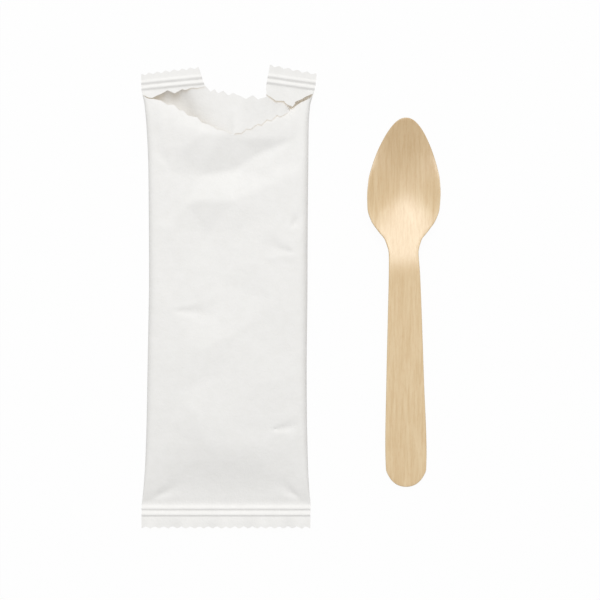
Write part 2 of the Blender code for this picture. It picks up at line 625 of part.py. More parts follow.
def build_sachet():
    sheets, shared = sachet_sheets()
    places, normals, faces, bonded, partner = paper_mesh(sheets, shared)
    mesh = bmesh.new()
    outer = [mesh.verts.new(spot * MM) for spot in places + normals * PAPER / 2]
    inner = {}
    parted = {corner for face, bond in zip(faces, bonded) if not bond for corner in face}
    joins = {corner for face, bond in zip(faces, bonded) if bond for corner in face} & parted
    for corner in parted:
        spot = places[corner] - normals[corner] * PAPER / 2
        mate = partner[corner]
        if corner in joins and mate in inner:
            inner[corner] = inner[mate]
            continue
        if corner in joins and mate is not None and mate != corner:
            spot = (spot + places[mate] - normals[mate] * PAPER / 2) / 2
        inner[corner] = mesh.verts.new(spot * MM)
    uses = {}
    for face, bond in zip(faces, bonded):
        mesh.faces.new([outer[corner] for corner in face])
        if not bond:
            mesh.faces.new([inner[corner] for corner in reversed(face)])
        for start, end in zip(face, face[1:] + face[:1]):
            uses.setdefault(frozenset((start, end)), []).append((start, end, bond))
    walled = set()
    for found in uses.values():
        if len(found) != 1:
            continue
        start, end, bond = found[0]
        if not bond:
            mesh.faces.new([outer[end], outer[start], inner[start], inner[end]])
            continue
        rim = frozenset((start, end, partner[start], partner[end]))
        if rim not in walled:
            walled.add(rim)
            ring = [outer[end], outer[start], outer[partner[start]], outer[partner[end]]]
            mesh.faces.new(list(dict.fromkeys(ring)))
    open_edges = [edge for edge in mesh.edges if len(edge.link_faces) == 1]
    bmesh.ops.holes_fill(mesh, edges=open_edges, sides=4)
    bmesh.ops.triangulate(mesh, faces=mesh.faces)
    bmesh.ops.recalc_face_normals(mesh, faces=mesh.faces)
    data = bpy.data.meshes.new("paper_sachet")
    mesh.to_mesh(data)
    mesh.free()
    data.shade_smooth()
    data.set_sharp_from_angle(angle=math.radians(35.0))
    sachet = bpy.data.objects.new("paper_sachet", data)
    sachet.location = Vector(SACHET_PLACE) * MM
    data.materials.append(make_material("white paper", (0.84, 0.83, 0.80), 0.85))
    bpy.context.collection.objects.link(sachet)
    return sachet


def spoon_height(along):
    """Height of the veneer's underside along the middle: down the bowl, up the neck, down the handle."""
    climb_start = BOWL_REST + BOWL_TURN
    rise = NECK_CLIMB * ((climb_start - BOWL_REST) / 2 + NECK - climb_start)
    handle_fall = rise / (SPOON_LENGTH - NECK)
    slopes = (
        (0.0, -BOWL_FALL), (BOWL_REST, 0.0), (climb_start, NECK_CLIMB), (NECK - BEND / 2, NECK_CLIMB),
        (NECK + BEND / 2, -handle_fall), (SPOON_LENGTH, -handle_fall),
    )
    places = numpy.linspace(0.0, SPOON_LENGTH, 2201)
    steepness = numpy.interp(places, *numpy.array(slopes).T)
    steps = (steepness[1:] + steepness[:-1]) / 2 * numpy.diff(places)
    heights = numpy.concatenate([[0.0], numpy.cumsum(steps)])
    return numpy.interp(along, places, heights - heights.min())


def spoon_half_width(along):
    """Half the blank's width. The curve runs through squares, so that both ends close round."""
    squares = [(place, half * abs(half)) for place, half in SPOON_HALF_WIDTH]
    return numpy.sqrt(numpy.maximum(curve(along, squares), 0.0))


def spoon_rows():
    """Places along the spoon, closer together at its round ends."""
    count = SPOON_ROWS - 2 * len(ROUND_ENDS)
    reach = ROUND_ENDS[-1] * 1.6
    middle = [reach + (SPOON_LENGTH - 2 * reach) * step / (count - 1) for step in range(count)]
    return numpy.array([*ROUND_ENDS, *middle, *(SPOON_LENGTH - place for place in ROUND_ENDS[::-1])])


def build_spoon():
    along = spoon_rows()
    half = spoon_half_width(along)
    mesh = bmesh.new()
    rows = []
    for place, reach in zip(along, half):
        across = numpy.linspace(-1.0, 1.0, SPOON_COLUMNS + 1)
        dish = ease(1 - abs(place - BOWL_REST) / (NECK - BOWL_REST)) * BOWL_DEPTH
        base = float(spoon_height(numpy.array(place)))
        lower = base + dish * (across * reach / BOWL_HALF_WIDTH) ** 2
        middle = float(curve(numpy.array(place), SPOON_MIDDLE))
        sides = middle + across * reach
        under = [mesh.verts.new(Vector((x, -place, z)) * MM) for x, z in zip(sides, lower)]
        upper = [mesh.verts.new(Vector((x, -place, z + VENEER)) * MM) for x, z in zip(sides, lower)]
        rows.append(upper + under[::-1])
    for near, far in zip(rows, rows[1:]):
        for step in range(len(near)):
            after = (step + 1) % len(near)
            mesh.faces.new((near[step], far[step], far[after], near[after]))
    mesh.faces.new(rows[0])
    mesh.faces.new(rows[-1][::-1])
    bmesh.ops.triangulate(mesh, faces=mesh.faces)
    bmesh.ops.recalc_face_normals(mesh, faces=mesh.faces)
    data = bpy.data.meshes.new("wooden_teaspoon")
    mesh.to_mesh(data)
    mesh.free()
    data.shade_smooth()
    data.set_sharp_from_angle(angle=math.radians(40.0))
    spoon = bpy.data.objects.new("wooden_teaspoon", data)
    spoon.location = Vector(SPOON_PLACE) * MM
    data.materials.append(make_material("birch veneer", (0.72, 0.54, 0.34), 0.6))
    bpy.context.collection.objects.link(spoon)
    return spoon


def main():
    clear_scene()
    build_sachet()
    build_spoon()


main()
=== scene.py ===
"""Looks of a wooden teaspoon lying beside the torn-open paper sachet that it was packed in.

Sizes are in millimetres in the pieces' own frames and are turned into metres where the meshes are made.
The sachet's own frame has x across from its middle line and y up from the tips of its lower cut.
The spoon's own frame has y down from the tip of the bowl.
"""
import math

import bmesh
import bpy
import numpy
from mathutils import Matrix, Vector, noise
from mathutils.geometry import delaunay_2d_cdt


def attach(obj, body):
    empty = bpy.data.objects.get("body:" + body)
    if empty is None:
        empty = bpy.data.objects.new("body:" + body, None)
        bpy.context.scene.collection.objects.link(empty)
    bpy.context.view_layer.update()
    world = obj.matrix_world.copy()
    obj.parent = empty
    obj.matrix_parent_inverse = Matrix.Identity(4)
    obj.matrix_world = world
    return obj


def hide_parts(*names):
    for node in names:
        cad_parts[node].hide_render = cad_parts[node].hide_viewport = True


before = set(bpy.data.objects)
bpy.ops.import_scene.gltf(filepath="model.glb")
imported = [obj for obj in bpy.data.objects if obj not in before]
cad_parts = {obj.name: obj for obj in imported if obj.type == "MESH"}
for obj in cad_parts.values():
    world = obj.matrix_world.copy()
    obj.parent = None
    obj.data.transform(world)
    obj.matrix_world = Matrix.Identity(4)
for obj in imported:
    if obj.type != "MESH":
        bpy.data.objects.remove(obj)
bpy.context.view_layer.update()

MM = 0.001

# Sachet, sizes of the flat paper tube
SACHET_WIDTH = 50.4
SACHET_LENGTH = 137.8
PAPER = 0.1
TOOTH_PITCH = 2.65
TOOTH_DEPTH = 0.6
TOOTH_STEPS = 8
TOOTH_ROUND = 0.4
LOWER_SEAL = 7.1
LOWER_SEAL_REST = 0.85
BEAD_HEIGHT = 0.42

# Pressed ridges, measured in from a seal's edge: (crest, run before it, run after it), and the
# places between which the mesh is fine enough for them
LOWER_BEADS = ((4.1, 0.6, 1.2), (5.9, 0.6, 1.2))
TAB_BEADS = ((0.8, 0.8, 0.9), (2.55, 0.85, 0.9))
LOWER_BEADS_START = 3.3
TAB_BEADS_END = 3.6

# The tear: its places are (x, distance below the top)
LEFT_CUT = ((-25.2, 2.3), (-8.0, 0.3))
LEFT_SEAL = ((-25.2, 7.6), (-6.2, 5.8))
RIGHT_CUT = ((13.3, 0.0), (27.0, 2.2))
RIGHT_SEAL = ((12.2, 6.0), (26.2, 7.5))

# On the side folds, below the top: the edge of the tabs' seal, the end of the tube and the tear
FOLD_SEAL = 7.6
FOLD_OPEN = 7.2
FOLD_TEAR = 8.5

# Front panel's torn edge, and its height along x
FRONT_EDGE = (
    (-23.2, 9.6), (-21.3, 9.95), (-19.1, 10.5), (-17.2, 11.7), (-15.3, 11.9), (-13.6, 13.4),
    (-12.4, 13.6), (-11.1, 14.9), (-9.4, 15.4), (-8.2, 15.7), (-6.9, 17.1), (-4.9, 17.8), (-2.3, 19.2),
    (-0.3, 19.7), (2.3, 20.9), (4.2, 19.2), (7.0, 17.2), (11.0, 15.2), (15.0, 13.8),
    (18.8, 13.9), (19.3, 12.9), (20.3, 12.4), (22.4, 11.0), (25.2, 9.6),
)
FRONT_EDGE_HEIGHT = (
    (-24.0, 3.5), (-19.0, 4.3), (-14.0, 5.0), (-8.0, 5.6), (-3.0, 5.9), (0.0, 5.8), (2.2, 5.5),
    (4.5, 5.3), (9.0, 5.0), (14.0, 4.6), (18.5, 4.1), (22.0, 3.8), (25.0, 3.4),
)
FRONT_EDGE_REACH = 16.0

# Back sheet between the tabs: its torn upper edge, the slit below it, the guides that run on from
# both to the side folds, and the heights along them
BACK_EDGE = (
    (12.2, 9.6), (9.8, 10.2), (8.2, 9.3), (6.2, 10.0), (4.6, 9.3), (2.4, 8.4), (0.8, 8.8),
    (-0.6, 7.7), (-2.2, 8.3), (-3.2, 7.2), (-4.4, 7.6), (-5.4, 6.6),
)
SLIT_EDGE = (
    (-1.2, 21.2), (1.7, 20.75), (2.7, 20.5), (4.0, 20.3), (4.8, 20.3), (6.3, 19.1), (7.5, 19.2),
    (9.6, 17.6), (10.7, 17.9), (12.3, 16.4), (13.6, 16.5), (15.3, 15.1), (16.3, 15.3), (17.6, 14.7),
    (18.3, 14.2), (18.75, 13.2), (19.1, 12.1),
)
SLIT_LIP = (
    (-1.2, 21.2), (3.0, 22.4), (9.0, 20.8), (15.0, 17.9), (18.0, 15.4), (18.7, 13.9), (19.1, 12.1),
)
UPPER_GUIDE = (*LEFT_SEAL, (-4.8, 6.7), (4.8, 9.2), (12.2, 8.8), (14.0, 6.2), RIGHT_SEAL[1])
SLIT_GUIDE = ((-25.2, 11.3), (-18.0, 12.0), (-11.0, 13.6), (-6.0, 17.3), *SLIT_EDGE, (26.5, 9.5))
UPPER_HEIGHT = (
    (-25.2, 3.15), (-20.0, 3.5), (-14.0, 3.6), (-8.0, 3.7), (-3.0, 4.1), (1.0, 4.6), (5.0, 5.2),
    (9.0, 6.2), (13.0, 6.2), (18.0, 5.1), (27.0, 3.55),
)
STRIP_HEIGHT = (
    (-25.2, 1.7), (-20.0, 1.0), (-15.0, 0.7), (-12.0, 1.1), (-8.5, 2.5), (-5.0, 3.7), (-1.2, 4.7),
    (1.3, 5.15), (3.3, 5.5), (8.0, 5.4), (18.0, 4.6), (19.1, 3.7), (20.3, 3.3), (21.8, 2.9), (26.5, 2.4),
)
LIP_HEIGHT = ((-1.2, 4.7), (2.3, 3.2), (9.0, 2.0), (15.0, 2.2), (18.0, 3.0), (19.1, 3.7))
WALL = ((-14.0, 2.4), (-8.0, 1.0))
LAP_ENDS = (1.7, 2.7, 18.5, 19.1)
LAP_GAP = 0.2
LEAST_STRIP = 0.5
BACK_REACH = 12.0

# Front layer left on each tab below its seal, and how steeply it curls up
LEFT_FLAP = (
    (-23.0, 9.4), (-21.6, 9.5), (-20.1, 8.8), (-19.5, 8.6), (-17.2, 7.5), (-15.1, 8.1),
    (-12.8, 7.0), (-11.9, 7.2), (-9.9, 6.6), (-8.4, 6.7), (-6.1, 6.3),
)
RIGHT_FLAP = (
    (12.1, 6.6), (12.3, 8.8), (13.3, 9.6), (15.1, 10.7), (17.2, 10.8), (18.3, 11.7),
    (19.9, 12.25), (20.6, 11.4), (20.8, 10.9), (22.7, 10.0), (23.8, 9.3), (25.4, 8.6),
)
LEFT_CURL = 0.16
RIGHT_CURL = 0.06
FLAP_BLEND = 3.0

# How thick the tube is at its sides, how high its front is, how it bends and how far its right tab
# swings out: (y, size)
TOP = SACHET_LENGTH
THICKNESS = (
    (LOWER_SEAL, PAPER), (9.4, 0.9), (12.0, 1.8), (17.5, 3.1), (25.0, 4.1), (34.0, 4.9), (52.0, 5.6),
    (76.0, 5.9), (TOP - 32.8, 5.2), (TOP - 19.8, 4.1), (TOP - 11.8, 2.5), (TOP - FOLD_TEAR, 0.9),
    (TOP - FOLD_OPEN, PAPER),
)
MIDDLE = (
    (0.0, 0.0), (21.0, 0.25), (48.0, 0.45), (76.0, 0.8), (TOP - 32.8, 0.8), (TOP - 11.8, 0.4),
    (TOP - 1.8, 0.1),
)
RIGHT_SWING = ((TOP - 17.8, 0.0), (TOP - 11.8, 0.2), (TOP - 7.5, 1.0), (TOP - 2.3, 1.8))
FRONT_HEIGHT = (
    (LOWER_SEAL, PAPER), (9.4, 0.6), (12.7, 1.4), (21.0, 4.0), (26.0, 5.1), (34.0, 5.7), (60.0, 6.2),
    (95.0, 6.3), (TOP - 27.8, 6.2), (TOP - 19.8, 5.6), (TOP - 13.8, 4.2), (TOP - 8.0, 2.4),
)

# Heights of the tube's underside where it is not on the ground: (y, z)
LEFT_LIFT = (
    (TOP - 27.8, 0.0), (TOP - 19.8, 0.2), (TOP - 11.8, 1.2), (TOP - FOLD_TEAR, 2.7),
    (TOP - FOLD_SEAL, 3.1),
)
RIGHT_LIFT = (
    (TOP - 27.8, 0.0), (TOP - 19.8, 0.2), (TOP - 11.8, 1.3), (TOP - FOLD_TEAR, 3.0),
    (TOP - FOLD_SEAL, 3.5),
)
LOWER_LIFT = ((0.5, 1.35), (LOWER_SEAL, LOWER_SEAL_REST), (11.0, 0.45), (20.0, 0.0))

# Waves of the skirt below the lower seal: height, how far up they run, and (share, rate, start) of each
SKIRT_WAVE = 0.35
SKIRT_RUN = 3.6
SKIRT_WAVES = ((0.6, 0.55, 1.0), (0.4, 1.13, 2.6))

# Flat facets of the crumpled front, as the corners between them: (x, distance below the top, height)
FACETS = (
    (-23.0, 20.0, 0.0), (-23.0, 32.0, 0.0), (-23.0, 48.0, 0.0), (-23.0, 66.0, 0.0), (-23.0, 78.0, 0.0),
    (-23.0, 90.0, 0.0), (-23.0, 104.0, 0.0), (-23.0, 118.0, 0.0), (-21.0, 129.0, 0.0),
    (24.0, 14.0, 0.0), (24.0, 30.0, 0.0), (24.0, 47.0, 0.0), (24.0, 60.0, 0.0), (24.0, 76.0, 0.0),
    (24.0, 92.0, 0.0), (24.0, 106.0, 0.0), (24.0, 118.0, 0.0), (21.0, 129.0, 0.0),
    (-18.0, 14.0, 0.0), (-20.0, 24.0, 0.2), (-13.4, 25.1, 0.3), (-17.0, 31.5, -0.3), (-6.0, 20.5, 0.7),
    (-1.0, 20.8, 0.4), (2.3, 21.5, 0.0), (2.3, 31.4, -3.0), (-7.0, 32.5, -1.3), (-8.6, 40.3, 0.1),
    (2.0, 40.3, -0.7), (9.5, 26.5, -2.1), (13.0, 29.5, -0.9), (20.8, 21.8, -0.6), (16.0, 34.0, 0.2),
    (21.0, 36.0, 0.1), (13.0, 44.0, 0.0), (-11.6, 41.5, -0.3), (-5.0, 50.0, -1.6), (4.0, 49.0, -1.1),
    (-16.0, 48.0, 0.0), (-13.0, 60.0, -0.4), (-2.0, 64.0, -1.3), (9.0, 58.0, -0.1), (18.0, 54.0, 0.3),
    (14.0, 70.0, 0.2), (-15.5, 73.0, 0.2), (-6.0, 77.0, -0.5), (4.0, 79.0, 0.0), (17.0, 84.0, -0.2),
    (-8.0, 84.5, 0.3), (-2.0, 92.0, -0.3), (8.0, 94.0, 0.1), (-14.0, 97.0, -0.1), (-9.0, 103.0, 0.4),
    (-17.0, 108.0, -0.4), (2.0, 108.0, 0.0), (14.0, 107.0, -0.4), (-14.0, 119.5, 0.0),
    (-3.0, 116.0, 0.3), (8.0, 116.3, 0.3), (17.0, 122.0, 0.0), (0.0, 131.0, 0.0),
)

# Level corners far around the facets, how soft their edges are, and where above the seal they start
FACET_SURROUND = ((-60.0, 60.0), (60.0, 60.0), (60.0, -240.0), (-60.0, -240.0))
FACET_BLUR = 0.7
FACET_START = 3.0

# Creases that start at a sharp tip: (x, distance below the top), heading and opening in degrees,
# length and depth
CREASES = (
    (-16.4, 30.8, 118.0, 60.0, 8.0, 0.3),
    (18.8, 48.6, 42.0, 60.0, 10.0, 0.6),
    (21.2, 55.9, 165.0, 50.0, 15.0, 0.5),
    (-15.8, 72.8, -4.0, 40.0, 18.0, 0.5),
    (-19.0, 82.3, 150.0, 80.0, 7.0, 0.3),
    (12.5, 108.3, 9.0, 36.0, 14.0, 0.5),
    (-25.4, 131.0, 29.0, 28.0, 18.0, 0.6),
    (25.0, 131.4, 141.0, 28.0, 15.0, 0.65),
)
CREASE_TIP = 0.3
CREASE_BLUNT = 0.01

# How far in from the side folds the rounded side gives way to the sheet
SIDE_BLEND = 7.0

# Spacing of the mesh's points: in the front, in the back, near the tear, along seals and folds, and
# shares of it: between staggered rows, and from loose points to the lines
FRONT_GRID = 0.75
BACK_GRID = 2.0
TORN_GRID = 0.8
SEAL_GRID = 1.3
BEAD_ROW = 0.2
FOLD_GRID = 1.5
FOOT_GRID = 0.8
SHOULDER_GRID = 1.0
SIDE_COLUMNS = 7
ROW_SHARE = 0.87
CLEAR_SHARE = 0.45

# Where that spacing changes: the foot's height, and the shoulder, seal and flaps below the top
FOOT = 13.0
SHOULDER = 25.8
SEAL_CLEAR = 5.8
FLAP_CLEAR = 12.0
TORN_LAP = 4.0
BACK_LAP = 5.0
SKIRT_ROWS = (0.6, 3.0)
TAB_ROWS = (4.6, 0.6)

# Torn edges: length of a step, how far the fibres leave the line, (share, rate, level) of their two
# patterns, and how much corners smaller than a size are sharpened
TEAR_STEP = 0.3
TEAR_ROUGHNESS = 0.07
TEAR_FIBRES = ((1.0, 1.9, 4.0), (0.6, 4.7, 9.0))
TEAR_SHARPNESS = 0.2
TEAR_CORNER = 0.9

# Flat points nearer than this meet. In the finished meshes, points nearer than NEAR are one, and
# edges that are sharper, or have a corner with more faces, stay hard
MEET = 0.01
NEAR = 0.03
SHARP_ANGLE = math.radians(40.0)
SHARP_FAN = 14

# Spoon, pressed from flat birch veneer: places are distances from the bowl's tip, BOWL_FALL and
# NECK_CLIMB are slopes, and the last two rows are (place, half width) and (place, shift of its middle)
SPOON_LENGTH = 110.0
VENEER = 1.5
BOWL_HALF_WIDTH = 10.9
NECK_HALF_WIDTH = 4.4
HANDLE_HALF_WIDTH = 6.15
BOWL_REST = 21.5
BOWL_DEPTH = 2.6
NECK = 43.5
BOWL_FALL = 0.27
NECK_CLIMB = 0.235
BOWL_TURN = 6.5
BEND = 7.5
SPOON_GRID = 0.8
SPOON_REACH = 11.0
SPOON_FIRST_ROW = 0.5
SPOON_STEPS = 2200
OUTLINE_STEPS = 1600
EDGE_STEP = 0.45
EDGE_ROUND = 0.28
ROUND_STEPS = 3
DISH_END = 37.0
SPOON_HALF_WIDTH = (
    (-1.0, -2.9), (0.0, 0.0), (2.5, 4.15), (5.9, 6.35), (9.9, 8.2), (14.4, 9.7), (18.4, 10.6),
    (22.8, BOWL_HALF_WIDTH), (27.0, 10.7), (30.5, 9.6), (33.6, 7.5), (36.4, 5.4),
    (40.5, NECK_HALF_WIDTH), (46.0, 4.6), (58.0, 5.0), (79.0, 5.62), (99.0, HANDLE_HALF_WIDTH),
    (104.7, 6.0), (107.2, 4.95), (109.3, 2.8), (SPOON_LENGTH, 0.0), (SPOON_LENGTH + 0.8, -2.9),
)
SPOON_MIDDLE = (
    (0.0, 0.24), (21.5, -0.33), (37.0, -0.55), (47.8, -0.27), (76.0, 0.05), (SPOON_LENGTH, 0.48),
)

# Where the two lie
SACHET_PLACE = (-19.35, -68.9, 0.0)
SPOON_PLACE = (34.0, 53.45, 0.0)

# Camera in mm, lamp and table in metres, degrees and watts. The table lies a hair below the paper,
# so that the two don't shine through each other. Then the strength of the sky's light, and the
# shares of the shadow that the table shows and of the light that goes through the paper
CAMERA_AIM = (2.79, -0.7)
CAMERA_HEIGHT = 424.5
CAMERA_LENS = 85.0
CAMERA_SENSOR = 36.0
TABLE_REACH = 2.0
TABLE_LEVEL = -0.00005
LAMP_SIZE = 1.6
LAMP_DISTANCE = 2.5
LAMP_LEAN = 31.0
LAMP_POWER = 36.9
SKY_LIGHT = 0.5
FLOOR_SHADOW = 0.04
THROUGH = 0.7


def curve(at, knots):
    """Values on a smooth curve through (place, value) knots, level at both ends and beyond them."""
    places, values = numpy.array(knots, dtype=float).T
    steps = numpy.diff(places)
    rates = numpy.diff(values) / steps
    before, after = rates[:-1], rates[1:]
    same_way = before * after > 0
    slopes = numpy.zeros(len(places))
    slopes[1:-1][same_way] = 2 * before[same_way] * after[same_way] / (before + after)[same_way]
    at = numpy.clip(at, places[0], places[-1])
    cell = numpy.clip(numpy.searchsorted(places, at, side="right") - 1, 0, len(steps) - 1)
    step = steps[cell]
    s = (at - places[cell]) / step
    rise = s * s * (3 - 2 * s)
    leave = s * (1 - s) ** 2 * step * slopes[cell]
    arrive = s * s * (s - 1) * step * slopes[cell + 1]
    return values[cell] * (1 - rise) + values[cell + 1] * rise + leave + arrive


def torn(points):
    """Points of the tear, turned from (x, distance below the top) into (x, y)."""
    return [(x, SACHET_LENGTH - below) for x, below in points]


def line(at, ends):
    """Heights on the picture of a straight line of the tear."""
    (x0, y0), (x1, y1) = torn(ends)
    return y0 + (at - x0) * (y1 - y0) / (x1 - x0)


def path(at, points):
    """Heights on the picture of a line of the tear that has corners."""
    places, values = numpy.array(torn(points), dtype=float).T
    return numpy.interp(at, places, values)


def ease(value):
    """A smooth step from 0 to 1."""
    value = numpy.clip(value, 0.0, 1.0)
    return value * value * (3 - 2 * value)


def bead(distance, beads):
    """Height of the pressed ridges at a distance in from a seal's edge: (crest, run before, run after)."""
    height = numpy.zeros_like(distance)
    for crest, before, after in beads:
        run = numpy.where(distance < crest, before, after)
        height += BEAD_HEIGHT * ease(1 - numpy.abs(distance - crest) / run)
    return height


def fold_line(side, y):
    """Where the tube's side fold is, seen from above, and the distance to it over the paper."""
    thickness = curve(y, THICKNESS)
    swing = curve(y, RIGHT_SWING) if side > 0 else 0.0
    middle = side * curve(y, MIDDLE)
    round_loss = (math.pi - 2) / 4
    fold = SACHET_WIDTH / 2 - round_loss * thickness + middle + swing
    return fold, fold + round_loss * thickness


def facets(x, y):
    """Flat facets between the corners, with softly rounded creases where they meet."""
    corners = numpy.array(FACETS)
    flat = [Vector((a, -b)) for a, b in corners[:, :2]]
    surround = [Vector(spot) for spot in FACET_SURROUND]
    heights = numpy.concatenate([corners[:, 2], numpy.zeros(len(surround))])
    places, _, triangles, *_ = delaunay_2d_cdt(flat + surround, [], [], 0, 1e-4)
    places = numpy.array(places)
    total = numpy.zeros_like(x)
    turns = numpy.arange(6) * math.pi / 3
    shifts = [(0.0, 0.0), *zip(numpy.cos(turns) * FACET_BLUR, numpy.sin(turns) * FACET_BLUR)]
    for shift_x, shift_y in shifts:
        at_x, at_y = x + shift_x, y - SACHET_LENGTH + shift_y
        found = numpy.zeros_like(x)
        for a, b, c in triangles:
            (ax, ay), (bx, by), (cx, cy) = places[[a, b, c]]
            area = (bx - ax) * (cy - ay) - (cx - ax) * (by - ay)
            share_b = ((at_x - ax) * (cy - ay) - (cx - ax) * (at_y - ay)) / area
            share_c = ((bx - ax) * (at_y - ay) - (at_x - ax) * (by - ay)) / area
            within = (share_b >= 0) & (share_c >= 0) & (share_b + share_c <= 1)
            rise_b, rise_c = heights[b] - heights[a], heights[c] - heights[a]
            found = numpy.where(within, heights[a] + share_b * rise_b + share_c * rise_c, found)
        total = total + found / len(shifts)
    return total


def crease(x, y, tip_x, below, heading, opening, length, depth):
    """A fold that starts at a sharp tip and opens out, as creased paper does."""
    tip_x, tip_y = torn([(tip_x, below)])[0]
    along_x = math.cos(math.radians(heading))
    along_y = math.sin(math.radians(heading))
    along = (x - tip_x) * along_x + (y - tip_y) * along_y
    across = (y - tip_y) * along_x - (x - tip_x) * along_y
    part = numpy.clip(along / length, 0.0, 1.0)
    half = numpy.maximum(along * math.tan(math.radians(opening) / 2), CREASE_TIP)
    tent = numpy.maximum(0.0, 1 - numpy.sqrt((across / half) ** 2 + CREASE_BLUNT))
    # 6.75 makes the deepest place, a third of the way along, as deep as the depth says
    return 6.75 * depth * part * (1 - part) ** 2 * tent


def lower_lift(x, y):
    """Rise of the lower seal off the table, with its skirt a little wavy."""
    waves = sum(share * numpy.sin(x * rate + start) for share, rate, start in SKIRT_WAVES)
    return curve(y, LOWER_LIFT) + SKIRT_WAVE * waves * ease((SKIRT_RUN - y) / SKIRT_RUN)


def front_body(x, y):
    """Height of the front panel before it was torn."""
    aside = numpy.clip(numpy.abs(x) / (SACHET_WIDTH / 2), 0.0, 1.0) ** 2
    height = curve(y, THICKNESS) * aside + curve(y, FRONT_HEIGHT) * (1 - aside)
    height = height + lower_lift(x, y)
    settle = ease((y - LOWER_SEAL) / FACET_START)
    height = height + settle * facets(x, y)
    for fold in CREASES:
        height = height - settle * crease(x, y, *fold)
    return height


def front_sheet(x, y):
    """Height of the front panel, with its torn edge lifted or pressed down."""
    edge = path(x, FRONT_EDGE)
    near = ease(1 - (edge - y) / FRONT_EDGE_REACH)
    return front_body(x, y) + near * (curve(x, FRONT_EDGE_HEIGHT) - front_body(x, edge))


def back_sheet(x, y):
    """Height of the back: flat on the ground, up to the tabs, and forward over the slit."""
    slit = path(x, SLIT_GUIDE)
    upper = path(x, UPPER_GUIDE)
    split_here = (x > SLIT_EDGE[0][0]) & (x < SLIT_EDGE[-1][0])
    strip = curve(x, STRIP_HEIGHT)
    lap = ease((x - LAP_ENDS[0]) / (LAP_ENDS[1] - LAP_ENDS[0]))
    lap = lap * ease((LAP_ENDS[3] - x) / (LAP_ENDS[3] - LAP_ENDS[2]))
    edge = numpy.maximum(path(x, FRONT_EDGE), slit)
    front = numpy.maximum(front_sheet(x, slit), front_sheet(x, edge))
    strip = strip + lap * (front + PAPER + LAP_GAP - strip)
    start = slit + lap * (edge - slit)
    lip = numpy.where(split_here, curve(x, LIP_HEIGHT), strip)
    climb = numpy.clip((y - start) / numpy.maximum(upper - start, LEAST_STRIP), 0.0, 1.0)
    above = strip + (curve(x, UPPER_HEIGHT) - strip) * climb ** curve(x, WALL)
    below = lip * ease(1 - (slit - y) / BACK_REACH) + lower_lift(x, y)
    middle = numpy.where(split_here, (path(x, SLIT_LIP) + slit) / 2, slit)
    return numpy.where(y >= middle, above, below) + PAPER / 2


def flap_sheet(x, y, side):
    """Height of the front layer on a tab, curling up below the seal."""
    seal, curl = (RIGHT_SEAL, RIGHT_CURL) if side > 0 else (LEFT_SEAL, LEFT_CURL)
    below = numpy.maximum(line(x, seal) - y, 0.0)
    return curve(x, UPPER_HEIGHT) + 1.5 * PAPER + curl * below


def seal_bead(x, y):
    """Height of the pressed ridges at places on the sachet."""
    lower = bead(y, LOWER_BEADS)
    left = bead(y - line(x, LEFT_SEAL), TAB_BEADS)
    right = bead(y - line(x, RIGHT_SEAL), TAB_BEADS)
    upper = numpy.where(x < (LEFT_SEAL[1][0] + RIGHT_SEAL[0][0]) / 2, left, right)
    return numpy.where(y > SACHET_LENGTH / 2, upper, lower)


def place_points(points, sheet):
    """Points of a flat sheet, (distance over the paper from the middle, y), put where they lie."""
    q, y = numpy.array(points, dtype=float).T
    side = numpy.where(q < 0, -1.0, 1.0)
    left_fold, left_reach = fold_line(-1, y)
    right_fold, right_reach = fold_line(1, y)
    fold = numpy.where(q < 0, left_fold, right_fold)
    reach = numpy.where(q < 0, left_reach, right_reach)
    radius = curve(y, THICKNESS) / 2
    angle = numpy.clip((numpy.abs(q) - (fold - radius)) / radius, 0.0, math.pi / 2)
    x = numpy.where(angle > 0, side * (fold - radius + radius * numpy.sin(angle)), q)
    lift = numpy.where(q < 0, curve(y, LEFT_LIFT), curve(y, RIGHT_LIFT)) + lower_lift(x, y)
    round_height = lift + PAPER / 2 + radius
    if sheet == "back":
        round_height = round_height - radius * numpy.cos(angle)
        height = back_sheet(x, y)
    else:
        round_height = round_height + radius * numpy.cos(angle)
        height = front_sheet(x, y) + PAPER / 2 if sheet == "front" else flap_sheet(x, y, q[0])
    blend = FLAP_BLEND if sheet.endswith("flap") else SIDE_BLEND
    inward = ease((reach - numpy.abs(q)) / blend)
    z = round_height + (height - round_height) * inward + seal_bead(x, y)
    return numpy.stack([x, y, z], axis=1)


def teeth(start, end):
    """Points of a pinked cut from start to end, with its notches going in from the line, a little blunt."""
    run = Vector(end) - Vector(start)
    count = max(1, round(run.length / TOOTH_PITCH))
    inward = Vector((-run.y, run.x)).normalized() * TOOTH_DEPTH
    points = []
    steps = count * TOOTH_STEPS
    for step in range(steps + 1):
        wedge = 1 - abs(1 - 2 * (step % TOOTH_STEPS) / TOOTH_STEPS)
        blunt = 0.5 - 0.5 * math.cos(math.pi * wedge)
        depth = wedge * (1 - TOOTH_ROUND) + blunt * TOOTH_ROUND
        points.append(tuple(Vector(start) + run * step / steps + inward * depth))
    return points


def tear_line(points):
    """A torn edge through its corners, slightly roughened by the paper's fibres."""
    knots = numpy.array(points, dtype=float)
    out = knots[1:-1] - (knots[:-2] + knots[2:]) / 2
    small = numpy.linalg.norm(out, axis=1) < TEAR_CORNER
    knots[1:-1] += out * small[:, None] * TEAR_SHARPNESS
    run = []
    for start, end in zip(knots, knots[1:]):
        steps = max(1, round(float(numpy.linalg.norm(end - start)) / TEAR_STEP))
        for step in range(steps):
            t = step / steps
            spot = start + (end - start) * t
            rough = sum(
                share * noise.noise(Vector((spot[0] * rate, spot[1] * rate, level)))
                for share, rate, level in TEAR_FIBRES
            )
            # the roughness starts gently, so that the first corner stays where it is
            hold = min(1.0, 4 * t, 4 * (1 - t)) if len(run) < 3 else 1.0
            run.append((spot[0], spot[1] + TEAR_ROUGHNESS * rough * hold))
    run[0] = tuple(points[0])
    run.append(tuple(points[-1]))
    return run


